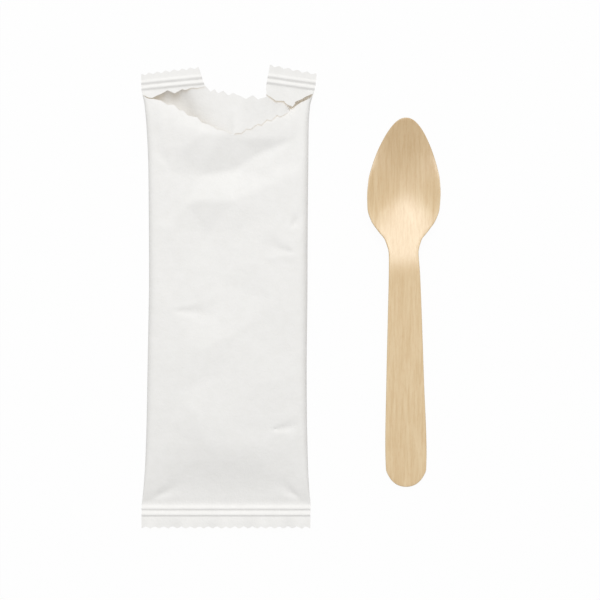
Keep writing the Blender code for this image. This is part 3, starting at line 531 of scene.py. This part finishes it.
def fold_points(side, start, end, spacing):
    """Points on a side fold from y = start to y = end."""
    count = max(1, math.ceil(abs(end - start) / spacing))
    points = []
    for step in range(count + 1):
        y = start + (end - start) * step / count
        points.append((side * float(fold_line(side, numpy.array(y))[1]), y))
    return points


def open_run(*runs):
    """One line from runs of points that meet end to end."""
    whole = []
    for run in runs:
        for point in run:
            if not whole or math.dist(point, whole[-1]) > MEET:
                whole.append(tuple(point))
    return whole


def joined(*runs):
    """One closed outline from runs of points that meet end to end."""
    outline = open_run(*runs)
    if math.dist(outline[0], outline[-1]) < MEET:
        outline.pop()
    return outline


def inside(points, outline):
    """Which of the points are inside a closed outline."""
    x, y = points.T
    found = numpy.zeros(len(points), dtype=bool)
    for (x0, y0), (x1, y1) in zip(outline, outline[1:] + outline[:1]):
        if y0 != y1:
            crosses = (y0 > y) != (y1 > y)
            found ^= crosses & (x < x0 + (y - y0) * (x1 - x0) / (y1 - y0))
    return found


def clear_of(points, segments, distance):
    """Which of the points are farther than a distance from every segment."""
    clear = numpy.ones(len(points), dtype=bool)
    for start, end in segments:
        start, end = numpy.array(start), numpy.array(end)
        run = end - start
        along = numpy.clip((points - start) @ run / max(run @ run, 1e-9), 0.0, 1.0)
        gap = numpy.linalg.norm(points - start - along[:, None] * run, axis=1)
        clear &= gap > distance
    return clear


def grid(spacing, low, high):
    """Evenly staggered points between y = low and y = high, short of the rounded sides."""
    points = []
    rows = math.ceil((high - low) / (spacing * ROW_SHARE))
    for row in range(rows + 1):
        y = low + (high - low) * row / rows
        round_run = curve(numpy.array(y), THICKNESS) * math.pi / 4
        left = -float(fold_line(-1, numpy.array(y))[1] - round_run)
        right = float(fold_line(1, numpy.array(y))[1] - round_run)
        count = math.ceil((right - left) / spacing)
        shift = 0.5 if row % 2 else 0.0
        for column in range(count):
            points.append((left + (right - left) * (column + shift) / count, y))
    return points


def side_columns(fold, columns):
    """Lines of points around a rounded side, beside its fold."""
    lines = []
    for column in range(1, columns + 1):
        points = []
        for reach, y in fold[1:-1]:
            round_run = float(curve(numpy.array(y), THICKNESS)) * math.pi / 4
            points.append((reach - math.copysign(round_run * column / columns, reach), y))
        lines.append(points)
    return lines


def fill_sheet(outline, holes, rows, grids):
    """Triangles over a flat outline with holes, through rows of points and loose grid points."""
    points, edges = [], []
    for ring in [outline, *holes]:
        first = len(points)
        points.extend(ring)
        edges.extend((first + i, first + (i + 1) % len(ring)) for i in range(len(ring)))
    for row in rows:
        first = len(points)
        points.extend(row)
        edges.extend((first + i, first + i + 1) for i in range(len(row) - 1))
    segments = [(points[a], points[b]) for a, b in edges]
    for spacing, loose in grids:
        loose = numpy.array(loose)
        keep = inside(loose, outline) & clear_of(loose, segments, spacing * CLEAR_SHARE)
        for hole in holes:
            keep &= ~inside(loose, hole)
        points.extend(map(tuple, loose[keep]))
    flat = delaunay_2d_cdt([Vector(point) for point in points], edges, [], 0, 1e-5)
    corners, faces = numpy.array(flat[0]), numpy.array(flat[2])
    middles = corners[faces].mean(axis=1)
    keep = inside(middles, outline)
    for hole in holes:
        keep &= ~inside(middles, hole)
    return corners, faces[keep]


def seal_row(distance, side):
    """A row of points along a pressed ridge: the lower seal (side 0) or a tab's (-1 or 1)."""
    if side == 0:
        ends = [(way * float(fold_line(way, numpy.array(distance))[1]), distance) for way in (-1, 1)]
    else:
        seal, cut = (LEFT_SEAL, LEFT_CUT) if side < 0 else (RIGHT_SEAL, RIGHT_CUT)
        y = SACHET_LENGTH - FOLD_SEAL + distance
        fold = (side * float(fold_line(side, numpy.array(y))[1]), y)
        inner = 1 if side < 0 else 0
        seal_end, cut_end = torn(seal)[inner], torn(cut)[inner]
        full = cut_end[1] - line(cut_end[0], seal)
        rim = tuple(Vector(seal_end).lerp(Vector(cut_end), distance / full))
        ends = [fold, rim] if side < 0 else [rim, fold]
    count = math.ceil(math.dist(*ends) / SEAL_GRID)
    return [tuple(Vector(ends[0]).lerp(Vector(ends[1]), step / count)) for step in range(count + 1)]


def bead_rows(low, high, side):
    """Rows of points close together over the pressed ridges, from the seal's edge inwards."""
    count = round((high - low) / BEAD_ROW)
    return [seal_row(low + (high - low) * step / count, side) for step in range(count + 1)]


def sealed(points):
    """Which points of a sheet lie where front and back are bonded."""
    x, y = points.T
    left = (x < torn(LEFT_SEAL)[1][0] + MEET) & (y > line(x, LEFT_SEAL))
    right = (x > torn(RIGHT_SEAL)[0][0] - MEET) & (y > line(x, RIGHT_SEAL))
    return (y < LOWER_SEAL) | ((y > SACHET_LENGTH / 2) & (left | right))


def sachet_sheets():
    """The four areas of the flat sachet: (sheet, corners, faces), and its fold points."""
    lower = bead_rows(LOWER_BEADS_START, LOWER_SEAL, 0)
    left = bead_rows(0.0, TAB_BEADS_END, -1)
    right = bead_rows(0.0, TAB_BEADS_END, 1)
    lower_cut = teeth((-SACHET_WIDTH / 2, 0.0), (SACHET_WIDTH / 2, 0.0))
    left_cut = teeth(*torn(LEFT_CUT)[::-1])
    right_cut = teeth(*torn(RIGHT_CUT)[::-1])
    tear_end = SACHET_LENGTH - FOLD_TEAR
    shoulder = SACHET_LENGTH - SHOULDER
    folds = {}
    for side, tab, cut in ((-1, left, left_cut), (1, right, right_cut)):
        end = 0 if side < 0 else -1
        stops = [
            (LOWER_SEAL, FOOT, FOOT_GRID), (FOOT, shoulder, FOLD_GRID), (shoulder, tear_end, SHOULDER_GRID),
        ]
        folds[side] = {
            "seal": [lower_cut[end]] + [row[end] for row in lower],
            "body": open_run(*(fold_points(side, *stop) for stop in stops)),
            "tab": [row[end] for row in tab] + [cut[-1] if side < 0 else cut[0]],
        }
    rims = {
        -1: [row[-1] for row in left] + [left_cut[0]],
        1: [row[0] for row in right] + [right_cut[-1]],
    }
    columns = [row for side in folds for row in side_columns(folds[side]["body"], SIDE_COLUMNS)]
    left_end, right_end = folds[-1]["body"][-1], folds[1]["body"][-1]
    front_edge = tear_line([left_end, *torn(FRONT_EDGE), right_end])
    panel = joined(
        lower_cut, folds[1]["seal"], folds[1]["body"], front_edge[::-1],
        folds[-1]["body"][::-1], folds[-1]["seal"][::-1],
    )
    back_edge = tear_line([rims[1][0], *torn(BACK_EDGE), rims[-1][0]])
    back = joined(
        lower_cut, folds[1]["seal"], folds[1]["body"], folds[1]["tab"], right_cut, rims[1][::-1],
        back_edge, rims[-1], left_cut, folds[-1]["tab"][::-1], folds[-1]["body"][::-1],
        folds[-1]["seal"][::-1],
    )
    left_tear = tear_line([left_end, *torn(LEFT_FLAP), rims[-1][0]])
    right_tear = tear_line([rims[1][0], *torn(RIGHT_FLAP), right_end])
    left_flap = joined(left_tear, rims[-1], left_cut, folds[-1]["tab"][::-1])
    right_flap = joined(right_tear, folds[1]["tab"], right_cut, rims[1][::-1])
    slit = tear_line(torn(SLIT_EDGE)) + tear_line(torn(SLIT_LIP)[::-1])[1:-1]
    below_seal = SACHET_LENGTH - SEAL_CLEAR
    skirt_grid = (SEAL_GRID, grid(SEAL_GRID, *SKIRT_ROWS))
    tab_grid = (SEAL_GRID, grid(SEAL_GRID, *(SACHET_LENGTH - below for below in TAB_ROWS)))
    front_grids = [(FRONT_GRID, grid(FRONT_GRID, LOWER_SEAL, tear_end)), skirt_grid]
    flap_grids = [(TORN_GRID, grid(TORN_GRID, SACHET_LENGTH - FLAP_CLEAR, below_seal)), tab_grid]
    back_grids = [
        (TORN_GRID, grid(TORN_GRID, shoulder - TORN_LAP, below_seal)),
        (BACK_GRID, grid(BACK_GRID, LOWER_SEAL, shoulder - BACK_LAP)), skirt_grid, tab_grid,
    ]
    sheets = [
        ("front", *fill_sheet(panel, [], lower + columns, front_grids)),
        ("left flap", *fill_sheet(left_flap, [], left, flap_grids)),
        ("right flap", *fill_sheet(right_flap, [], right, flap_grids)),
        ("back", *fill_sheet(back, [slit], lower + left + right + columns, back_grids)),
    ]
    shared = {key(point) for side in folds for run in folds[side].values() for point in run}
    return sheets, shared


def key(point):
    """A flat place, rounded, so that places on two sheets can be matched."""
    rounded = numpy.float32(point)
    return round(float(rounded[0]), 3), round(float(rounded[1]), 3)


def paper_mesh(sheets, shared):
    """Places, outward directions and faces of all the sheets, which share their fold points."""
    index, places, faces, bonded = {}, [], [], []
    partner = {}
    for sheet, corners, triangles in sheets:
        spots = place_points(corners, sheet)
        layer = "back" if sheet == "back" else "front"
        own = []
        for corner, spot in zip(corners, spots):
            name = ("fold", *key(corner)) if key(corner) in shared else (layer, *key(corner))
            if name not in index:
                index[name] = len(places)
                places.append(spot)
            own.append(index[name])
        turned = triangles[:, ::-1] if sheet == "back" else triangles
        faces.extend(tuple(own[corner] for corner in triangle) for triangle in turned)
        bonded.extend(sealed(corners[triangles].mean(axis=1)))
    for name, number in index.items():
        other = {"front": "back", "back": "front", "fold": "fold"}[name[0]]
        partner[number] = index.get((other, *name[1:]))
    places = numpy.array(places)
    normals = numpy.zeros_like(places)
    for a, b, c in faces:
        normals[[a, b, c]] += numpy.cross(places[b] - places[a], places[c] - places[a])
    for name, number in index.items():
        if name[0] == "fold":
            normals[number] = (math.copysign(1.0, name[1]), 0.0, 0.0)
    normals /= numpy.linalg.norm(normals, axis=1, keepdims=True)
    return places, normals, faces, bonded, partner


def spoon_height(along):
    """Height of the veneer's underside along the middle: down the bowl, up the neck, down the handle."""
    climb_start = BOWL_REST + BOWL_TURN
    rise = NECK_CLIMB * ((climb_start - BOWL_REST) / 2 + NECK - climb_start)
    handle_fall = rise / (SPOON_LENGTH - NECK)
    slopes = (
        (0.0, -BOWL_FALL), (BOWL_REST, 0.0), (climb_start, NECK_CLIMB), (NECK - BEND / 2, NECK_CLIMB),
        (NECK + BEND / 2, -handle_fall), (SPOON_LENGTH, -handle_fall),
    )
    places = numpy.linspace(0.0, SPOON_LENGTH, SPOON_STEPS + 1)
    steepness = numpy.interp(places, *numpy.array(slopes).T)
    steps = (steepness[1:] + steepness[:-1]) / 2 * numpy.diff(places)
    heights = numpy.concatenate([[0.0], numpy.cumsum(steps)])
    return numpy.interp(along, places, heights - heights.min())


def spoon_half_width(along):
    """Half the blank's width. The curve runs through squares, so that both ends close round."""
    squares = [(place, half * abs(half)) for place, half in SPOON_HALF_WIDTH]
    return numpy.sqrt(numpy.maximum(curve(along, squares), 0.0))


def close_mesh(mesh):
    """Joins slivers, shuts small corner holes and drops faces folded flat on each other."""
    loose = [corner for corner in mesh.verts if not corner.link_faces]
    bmesh.ops.delete(mesh, geom=loose, context="VERTS")
    bmesh.ops.dissolve_degenerate(mesh, dist=NEAR * MM, edges=mesh.edges)
    open_edges = [edge for edge in mesh.edges if edge.is_boundary]
    bmesh.ops.holes_fill(mesh, edges=open_edges, sides=4)
    twins = {}
    for face in mesh.faces:
        twins.setdefault(frozenset(face.verts), []).append(face)
    folded = [face for same in twins.values() if len(same) > 1 for face in same]
    bmesh.ops.delete(mesh, geom=folded, context="FACES")
    bmesh.ops.recalc_face_normals(mesh, faces=mesh.faces)


def shade_mesh(mesh):
    """Smooth faces, with hard edges at sharp bends and where many faces meet in one corner."""
    for face in mesh.faces:
        face.smooth = True
    for edge in mesh.edges:
        fan = max(len(corner.link_faces) for corner in edge.verts)
        edge.smooth = edge.calc_face_angle(math.pi) < SHARP_ANGLE and fan < SHARP_FAN


def piece(name, spots, faces, material):
    """A finished mesh from places in metres and faces, with its object at the origin."""
    data = bpy.data.meshes.new(name)
    data.from_pydata([tuple(spot) for spot in spots], [], faces)
    mesh = bmesh.new()
    mesh.from_mesh(data)
    close_mesh(mesh)
    shade_mesh(mesh)
    mesh.to_mesh(data)
    mesh.free()
    data.materials.append(material)
    thing = bpy.data.objects.new(name, data)
    bpy.context.scene.collection.objects.link(thing)
    return thing


def inner_skin(places, normals, faces, bonded, partner, first):
    """Inner places of the parted paper, and the number of each corner's inner place."""
    parted = {corner for face, bond in zip(faces, bonded) if not bond for corner in face}
    joins = {corner for face, bond in zip(faces, bonded) if bond for corner in face} & parted
    spots, inner = [], {}
    for corner in parted:
        spot = places[corner] - normals[corner] * PAPER / 2
        mate = partner[corner]
        if corner in joins and mate in inner:
            inner[corner] = inner[mate]
            continue
        if corner in joins and mate is not None and mate != corner:
            spot = (spot + places[mate] - normals[mate] * PAPER / 2) / 2
        inner[corner] = first + len(spots)
        spots.append(spot)
    return spots, inner


def rim_faces(faces, bonded, partner, inner):
    """Faces that close the paper along its cut and torn edges."""
    uses = {}
    for face, bond in zip(faces, bonded):
        for start, end in zip(face, face[1:] + face[:1]):
            uses.setdefault(frozenset((start, end)), []).append((start, end, bond))
    closing, walled = [], set()
    for found in uses.values():
        if len(found) != 1:
            continue
        start, end, bond = found[0]
        if not bond:
            closing.append((end, start, inner[start], inner[end]))
            continue
        rim = frozenset((start, end, partner[start], partner[end]))
        if rim not in walled:
            walled.add(rim)
            closing.append(tuple(dict.fromkeys((end, start, partner[start], partner[end]))))
    return closing


def sachet_surface():
    """Places and faces of the paper: outer skins, inner skins where the sheets part, and edges."""
    places, normals, faces, bonded, partner = paper_mesh(*sachet_sheets())
    outside = list(places + normals * PAPER / 2)
    inside_spots, inner = inner_skin(places, normals, faces, bonded, partner, len(outside))
    lining = [
        tuple(inner[corner] for corner in reversed(face)) for face, bond in zip(faces, bonded) if not bond
    ]
    solid = [tuple(face) for face in faces] + lining + rim_faces(faces, bonded, partner, inner)
    world = (numpy.array(outside + inside_spots) + numpy.array(SACHET_PLACE)) * MM
    return world, solid


def spoon_outline():
    """Points around the flat blank, about half a millimetre apart."""
    along = SPOON_LENGTH / 2 * (1 - numpy.cos(numpy.linspace(0.0, math.pi, OUTLINE_STEPS + 1)))
    right = numpy.stack([spoon_half_width(along), along], axis=1)
    ring = numpy.vstack([right, right[-2:0:-1] * (-1, 1)])
    loop = numpy.vstack([ring, ring[:1]])
    lengths = numpy.linalg.norm(numpy.diff(loop, axis=0), axis=1)
    travel = numpy.concatenate([[0.0], numpy.cumsum(lengths)])
    wanted = numpy.linspace(0.0, travel[-1], round(travel[-1] / EDGE_STEP) + 1)[:-1]
    return numpy.stack([numpy.interp(wanted, travel, side) for side in loop.T], axis=1)


def spoon_under(points):
    """Height of the veneer's underside at places on the blank."""
    x, along = points.T
    dish = ease(1 - numpy.abs(along - BOWL_REST) / (DISH_END - BOWL_REST)) * BOWL_DEPTH
    return spoon_height(along) + dish * (x / BOWL_HALF_WIDTH) ** 2


def spoon_rim():
    """The blank's outline, and the direction inwards from each of its points."""
    outline = spoon_outline()
    run = numpy.roll(outline, -1, axis=0) - numpy.roll(outline, 1, axis=0)
    inward = numpy.stack([-run[:, 1], run[:, 0]], axis=1)
    inward /= numpy.linalg.norm(run, axis=1, keepdims=True)
    if ((outline + inward * 0.1)[:, 0] * outline[:, 0]).sum() > (outline[:, 0] ** 2).sum():
        inward = -inward
    return outline, inward


def edge_rings(outline, inward):
    """Rings of places around the sanded edge, from just under the upper face to just over the lower."""
    rings = []
    for step in range(1, ROUND_STEPS * 2):
        turn = math.pi * step / (ROUND_STEPS * 2)
        ring = outline + inward * EDGE_ROUND * (1 - math.sin(turn))
        if turn <= math.pi / 2:
            height = VENEER - EDGE_ROUND * (1 - math.cos(turn))
        else:
            height = EDGE_ROUND * (1 + math.cos(turn))
        rings.append(numpy.column_stack([ring, spoon_under(ring) + height]))
    return rings


def spoon_surface():
    """Places and faces of the pressed spoon, with its sanded, slightly round edge."""
    outline, inward = spoon_rim()
    rim = outline + inward * EDGE_ROUND
    loose = [
        (x + (SPOON_GRID / 2 if row % 2 else 0.0), y)
        for row, y in enumerate(numpy.arange(SPOON_FIRST_ROW, SPOON_LENGTH, SPOON_GRID * ROW_SHARE))
        for x in numpy.arange(-SPOON_REACH, SPOON_REACH + MEET, SPOON_GRID)
    ]
    corners, triangles = fill_sheet([tuple(spot) for spot in rim], [], [], [(SPOON_GRID, loose)])
    under = spoon_under(corners)
    count = len(corners)
    spots = [*numpy.column_stack([corners, under + VENEER]), *numpy.column_stack([corners, under])]
    faces = [tuple(int(c) for c in face) for face in triangles]
    faces += [tuple(int(c) + count for c in reversed(face)) for face in triangles]
    places = {key(corner): number for number, corner in enumerate(corners)}
    rings = [[places[key(spot)] for spot in rim]]
    for ring in edge_rings(outline, inward):
        rings.append(list(range(len(spots), len(spots) + len(ring))))
        spots.extend(ring)
    rings.append([number + count for number in rings[0]])
    for upper, lower in zip(rings, rings[1:]):
        for a in range(len(upper)):
            b = (a + 1) % len(upper)
            faces.append((upper[a], upper[b], lower[b], lower[a]))
    spots = numpy.array(spots) * (1, -1, 1)
    spots[:, 0] += curve(-spots[:, 1], SPOON_MIDDLE)
    return (spots + numpy.array(SPOON_PLACE)) * MM, faces


def linear(code):
    """An sRGB colour such as ffffff as linear light."""
    parts = [int(code[i : i + 2], 16) / 255 for i in (0, 2, 4)]
    light = [part / 12.92 if part <= 0.04045 else ((part + 0.055) / 1.055) ** 2.4 for part in parts]
    return (*light, 1.0)


def add_node(tree, kind, inputs=None, **settings):
    """One node, with its settings, its values, and links from the sockets that feed it."""
    node = tree.nodes.new(kind)
    for name, value in settings.items():
        setattr(node, name, value)
    for socket, value in (inputs or {}).items():
        if isinstance(value, bpy.types.NodeSocket):
            tree.links.new(value, node.inputs[socket])
        else:
            node.inputs[socket].default_value = value
    return node


def new_finish(name):
    """An empty material and its tree."""
    material = bpy.data.materials.new(name)
    material.use_nodes = True
    material.node_tree.nodes.clear()
    return material, material.node_tree


def object_mm(tree, origin=(0.0, 0.0, 0.0)):
    """Object coordinates in millimetres from an origin."""
    place = add_node(tree, "ShaderNodeTexCoord").outputs["Object"]
    shift = tuple(-v * MM for v in origin)
    shifted = add_node(tree, "ShaderNodeMapping", {"Vector": place, "Location": shift}).outputs["Vector"]
    scale = (1 / MM, 1 / MM, 1 / MM)
    return add_node(tree, "ShaderNodeMapping", {"Vector": shifted, "Scale": scale}).outputs["Vector"]


def cloud(tree, place, scale, detail, roughness, distortion=0.0):
    """A soft noise pattern."""
    inputs = {"Vector": place, "Scale": scale, "Detail": detail, "Roughness": roughness}
    return add_node(tree, "ShaderNodeTexNoise", {**inputs, "Distortion": distortion}).outputs["Fac"]


def stretched(tree, place, scale):
    """Places drawn out along the grain."""
    return add_node(tree, "ShaderNodeMapping", {"Vector": place, "Scale": scale}).outputs["Vector"]


def spread(tree, value, low, high, end=1.0, **settings):
    """A value between low and high as a share from 0 to the end."""
    inputs = {"Value": value, "From Min": low, "From Max": high, "To Min": 0.0, "To Max": end}
    return add_node(tree, "ShaderNodeMapRange", inputs, **settings).outputs["Result"]


def blend(tree, share, first, second, **settings):
    """A colour between two others."""
    inputs = {"Factor": share, "A": first, "B": second}
    return add_node(tree, "ShaderNodeMix", inputs, data_type="RGBA", **settings).outputs["Result"]


def relief(tree, height, distance, **below):
    """Directions of a surface with a fine relief, its distance in metres."""
    inputs = {"Height": height, "Strength": 1.0, "Distance": distance, **below}
    return add_node(tree, "ShaderNodeBump", inputs).outputs["Normal"]


def sachet_paper():
    """Bleached, machine-glazed wrapping paper, uncoated: matt, faintly cloudy and a little warm."""
    material, tree = new_finish("bleached_wrapping_paper")
    mm = object_mm(tree)
    # clouds of fibres 2 to 4 mm across, seen when paper is held to the light and faintly on its face
    clouds = cloud(tree, mm, 0.35, 3.0, 0.55)
    # single fibres are too fine for the render, so their grain is drawn 0.4 to 0.8 mm across
    fibres = cloud(tree, mm, 1.6, 4.0, 0.6)
    lumps = relief(tree, clouds, 0.00011)
    surface = add_node(
        tree, "ShaderNodeBsdfPrincipled",
        {"Base Color": blend(tree, clouds, linear("eeedea"), linear("f5f4f2")),
         "Roughness": 0.72, "IOR": 1.45, "Specular IOR Level": 0.3,
         "Normal": relief(tree, fibres, 0.00006, Normal=lumps)},
    )
    # thin paper lets part of the light through, warmed, so the pocket under the tabs is not black
    rays = add_node(tree, "ShaderNodeLightPath")
    share = add_node(
        tree, "ShaderNodeMath", {0: rays.outputs["Is Shadow Ray"], 1: THROUGH}, operation="MULTIPLY",
    )
    through = add_node(tree, "ShaderNodeBsdfTransparent", {"Color": linear("fff3df")})
    mixed = add_node(
        tree, "ShaderNodeMixShader",
        {0: share.outputs["Value"], 1: surface.outputs["BSDF"], 2: through.outputs["BSDF"]},
    )
    add_node(tree, "ShaderNodeOutputMaterial", {"Surface": mixed.outputs["Shader"]})
    return material


def spoon_wood():
    """Bare birch veneer, hot-pressed smooth: pale tan, with fine straight grain along the spoon."""
    material, tree = new_finish("pressed_birch_veneer")
    mm = object_mm(tree, SPOON_PLACE)
    along_grain = stretched(tree, mm, (1.0, 0.05, 0.6))
    # vessels: lines 0.3 to 0.6 mm apart that run on for 10 mm and more
    lines = cloud(tree, along_grain, 1.7, 5.0, 0.65)
    # growth bands: 3 to 6 mm across, soft
    bands = cloud(tree, along_grain, 0.3, 2.0, 0.5, 0.3)
    ground = blend(tree, bands, linear("dfc194"), linear("efd8b0"))
    grained = blend(tree, spread(tree, lines, 0.25, 0.6), linear("d8b98a"), ground)
    # flecks: short orange and dark specks 0.3 mm wide and 1 to 2 mm long, drawn a little coarser
    specks = cloud(tree, stretched(tree, mm, (1.0, 0.22, 0.6)), 2.2, 4.0, 0.7)
    flecked = blend(tree, spread(tree, specks, 0.5, 0.8, 0.3), grained, linear("c9955c"))
    # painted shade: the colour is darkened a little towards the bowl's tip, where the bowl slopes away from
    # the lamp
    along = add_node(tree, "ShaderNodeSeparateXYZ", {"Vector": mm}).outputs["Y"]
    painted_tip_shade = spread(tree, along, -30.0, -8.0, interpolation_type="SMOOTHSTEP")
    toned = blend(tree, painted_tip_shade, flecked, linear("ede9e4"), blend_type="MULTIPLY")
    surface = add_node(
        tree, "ShaderNodeBsdfPrincipled",
        {"Base Color": toned, "Roughness": 0.38, "IOR": 1.55, "Specular IOR Level": 0.85,
         "Normal": relief(tree, lines, 0.00003)},
    )
    add_node(tree, "ShaderNodeOutputMaterial", {"Surface": surface.outputs["BSDF"]})
    return material


def camera_share(tree, seen, other):
    """One shader for what the camera sees, and another for the light that falls on the object."""
    rays = add_node(tree, "ShaderNodeLightPath")
    glossy = add_node(
        tree, "ShaderNodeMath",
        {0: rays.outputs["Is Camera Ray"], 1: rays.outputs["Is Glossy Ray"]}, operation="MAXIMUM",
    )
    direct = add_node(
        tree, "ShaderNodeMath",
        {0: glossy.outputs["Value"], 1: rays.outputs["Is Transmission Ray"]}, operation="MAXIMUM",
    )
    return add_node(tree, "ShaderNodeMixShader", {0: direct.outputs["Value"], 1: other, 2: seen})


def build_floor():
    """A plain white table top, which keeps only a faint shadow."""
    material, tree = new_finish("white_table")
    matt = add_node(tree, "ShaderNodeBsdfDiffuse", {"Color": (0.8, 0.8, 0.8, 1.0)})
    white = add_node(tree, "ShaderNodeEmission", {"Color": (1.0, 1.0, 1.0, 1.0), "Strength": 1.0})
    seen = add_node(
        tree, "ShaderNodeMixShader", {0: FLOOR_SHADOW, 1: white.outputs["Emission"], 2: matt.outputs["BSDF"]},
    )
    mixed = camera_share(tree, seen.outputs["Shader"], matt.outputs["BSDF"])
    add_node(tree, "ShaderNodeOutputMaterial", {"Surface": mixed.outputs["Shader"]})
    ways = ((-1, -1), (1, -1), (1, 1), (-1, 1))
    corners = [(x * TABLE_REACH, y * TABLE_REACH, TABLE_LEVEL) for x, y in ways]
    floor = piece("table_top", corners, [(0, 1, 2, 3)], material)


def build_light():
    """An even white sky, and one soft lamp leaning over from the torn end."""
    world = bpy.data.worlds.new("studio")
    bpy.context.scene.world = world
    world.use_nodes = True
    tree = world.node_tree
    tree.nodes.clear()
    sky = add_node(tree, "ShaderNodeBackground", {"Color": (1.0, 1.0, 1.0, 1.0), "Strength": SKY_LIGHT})
    white = add_node(tree, "ShaderNodeBackground", {"Color": (1.0, 1.0, 1.0, 1.0), "Strength": 1.0})
    rays = add_node(tree, "ShaderNodeLightPath")
    mixed = add_node(
        tree, "ShaderNodeMixShader",
        {0: rays.outputs["Is Camera Ray"], 1: sky.outputs["Background"], 2: white.outputs["Background"]},
    )
    add_node(tree, "ShaderNodeOutputWorld", {"Surface": mixed.outputs["Shader"]})
    lamp = bpy.data.lights.new("soft_lamp", "AREA")
    lamp.shape = "DISK"
    lamp.size = LAMP_SIZE
    lamp.energy = LAMP_POWER
    holder = bpy.data.objects.new("soft_lamp", lamp)
    lean = math.radians(LAMP_LEAN)
    holder.location = (0.0, LAMP_DISTANCE * math.sin(lean), LAMP_DISTANCE * math.cos(lean))
    holder.rotation_euler = Vector(holder.location).to_track_quat("Z", "Y").to_euler()
    bpy.context.scene.collection.objects.link(holder)


def build_camera():
    """Straight above the table, as the photograph was taken."""
    lens = bpy.data.cameras.new("camera")
    lens.lens = CAMERA_LENS
    lens.sensor_width = CAMERA_SENSOR
    camera = bpy.data.objects.new("camera", lens)
    camera.location = (CAMERA_AIM[0] * MM, CAMERA_AIM[1] * MM, CAMERA_HEIGHT * MM)
    bpy.context.scene.collection.objects.link(camera)
    bpy.context.scene.camera = camera


def main():
    """The two pieces, the table, the light and the camera."""
    bpy.context.scene.view_settings.view_transform = "Standard"
    sachet = piece("torn_sachet", *sachet_surface(), sachet_paper())
    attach(sachet, "root")
    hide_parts("paper_sachet")
    spoon = piece("pressed_teaspoon", *spoon_surface(), spoon_wood())
    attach(spoon, "root")
    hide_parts("wooden_teaspoon")
    build_floor()
    build_light()
    build_camera()


main()
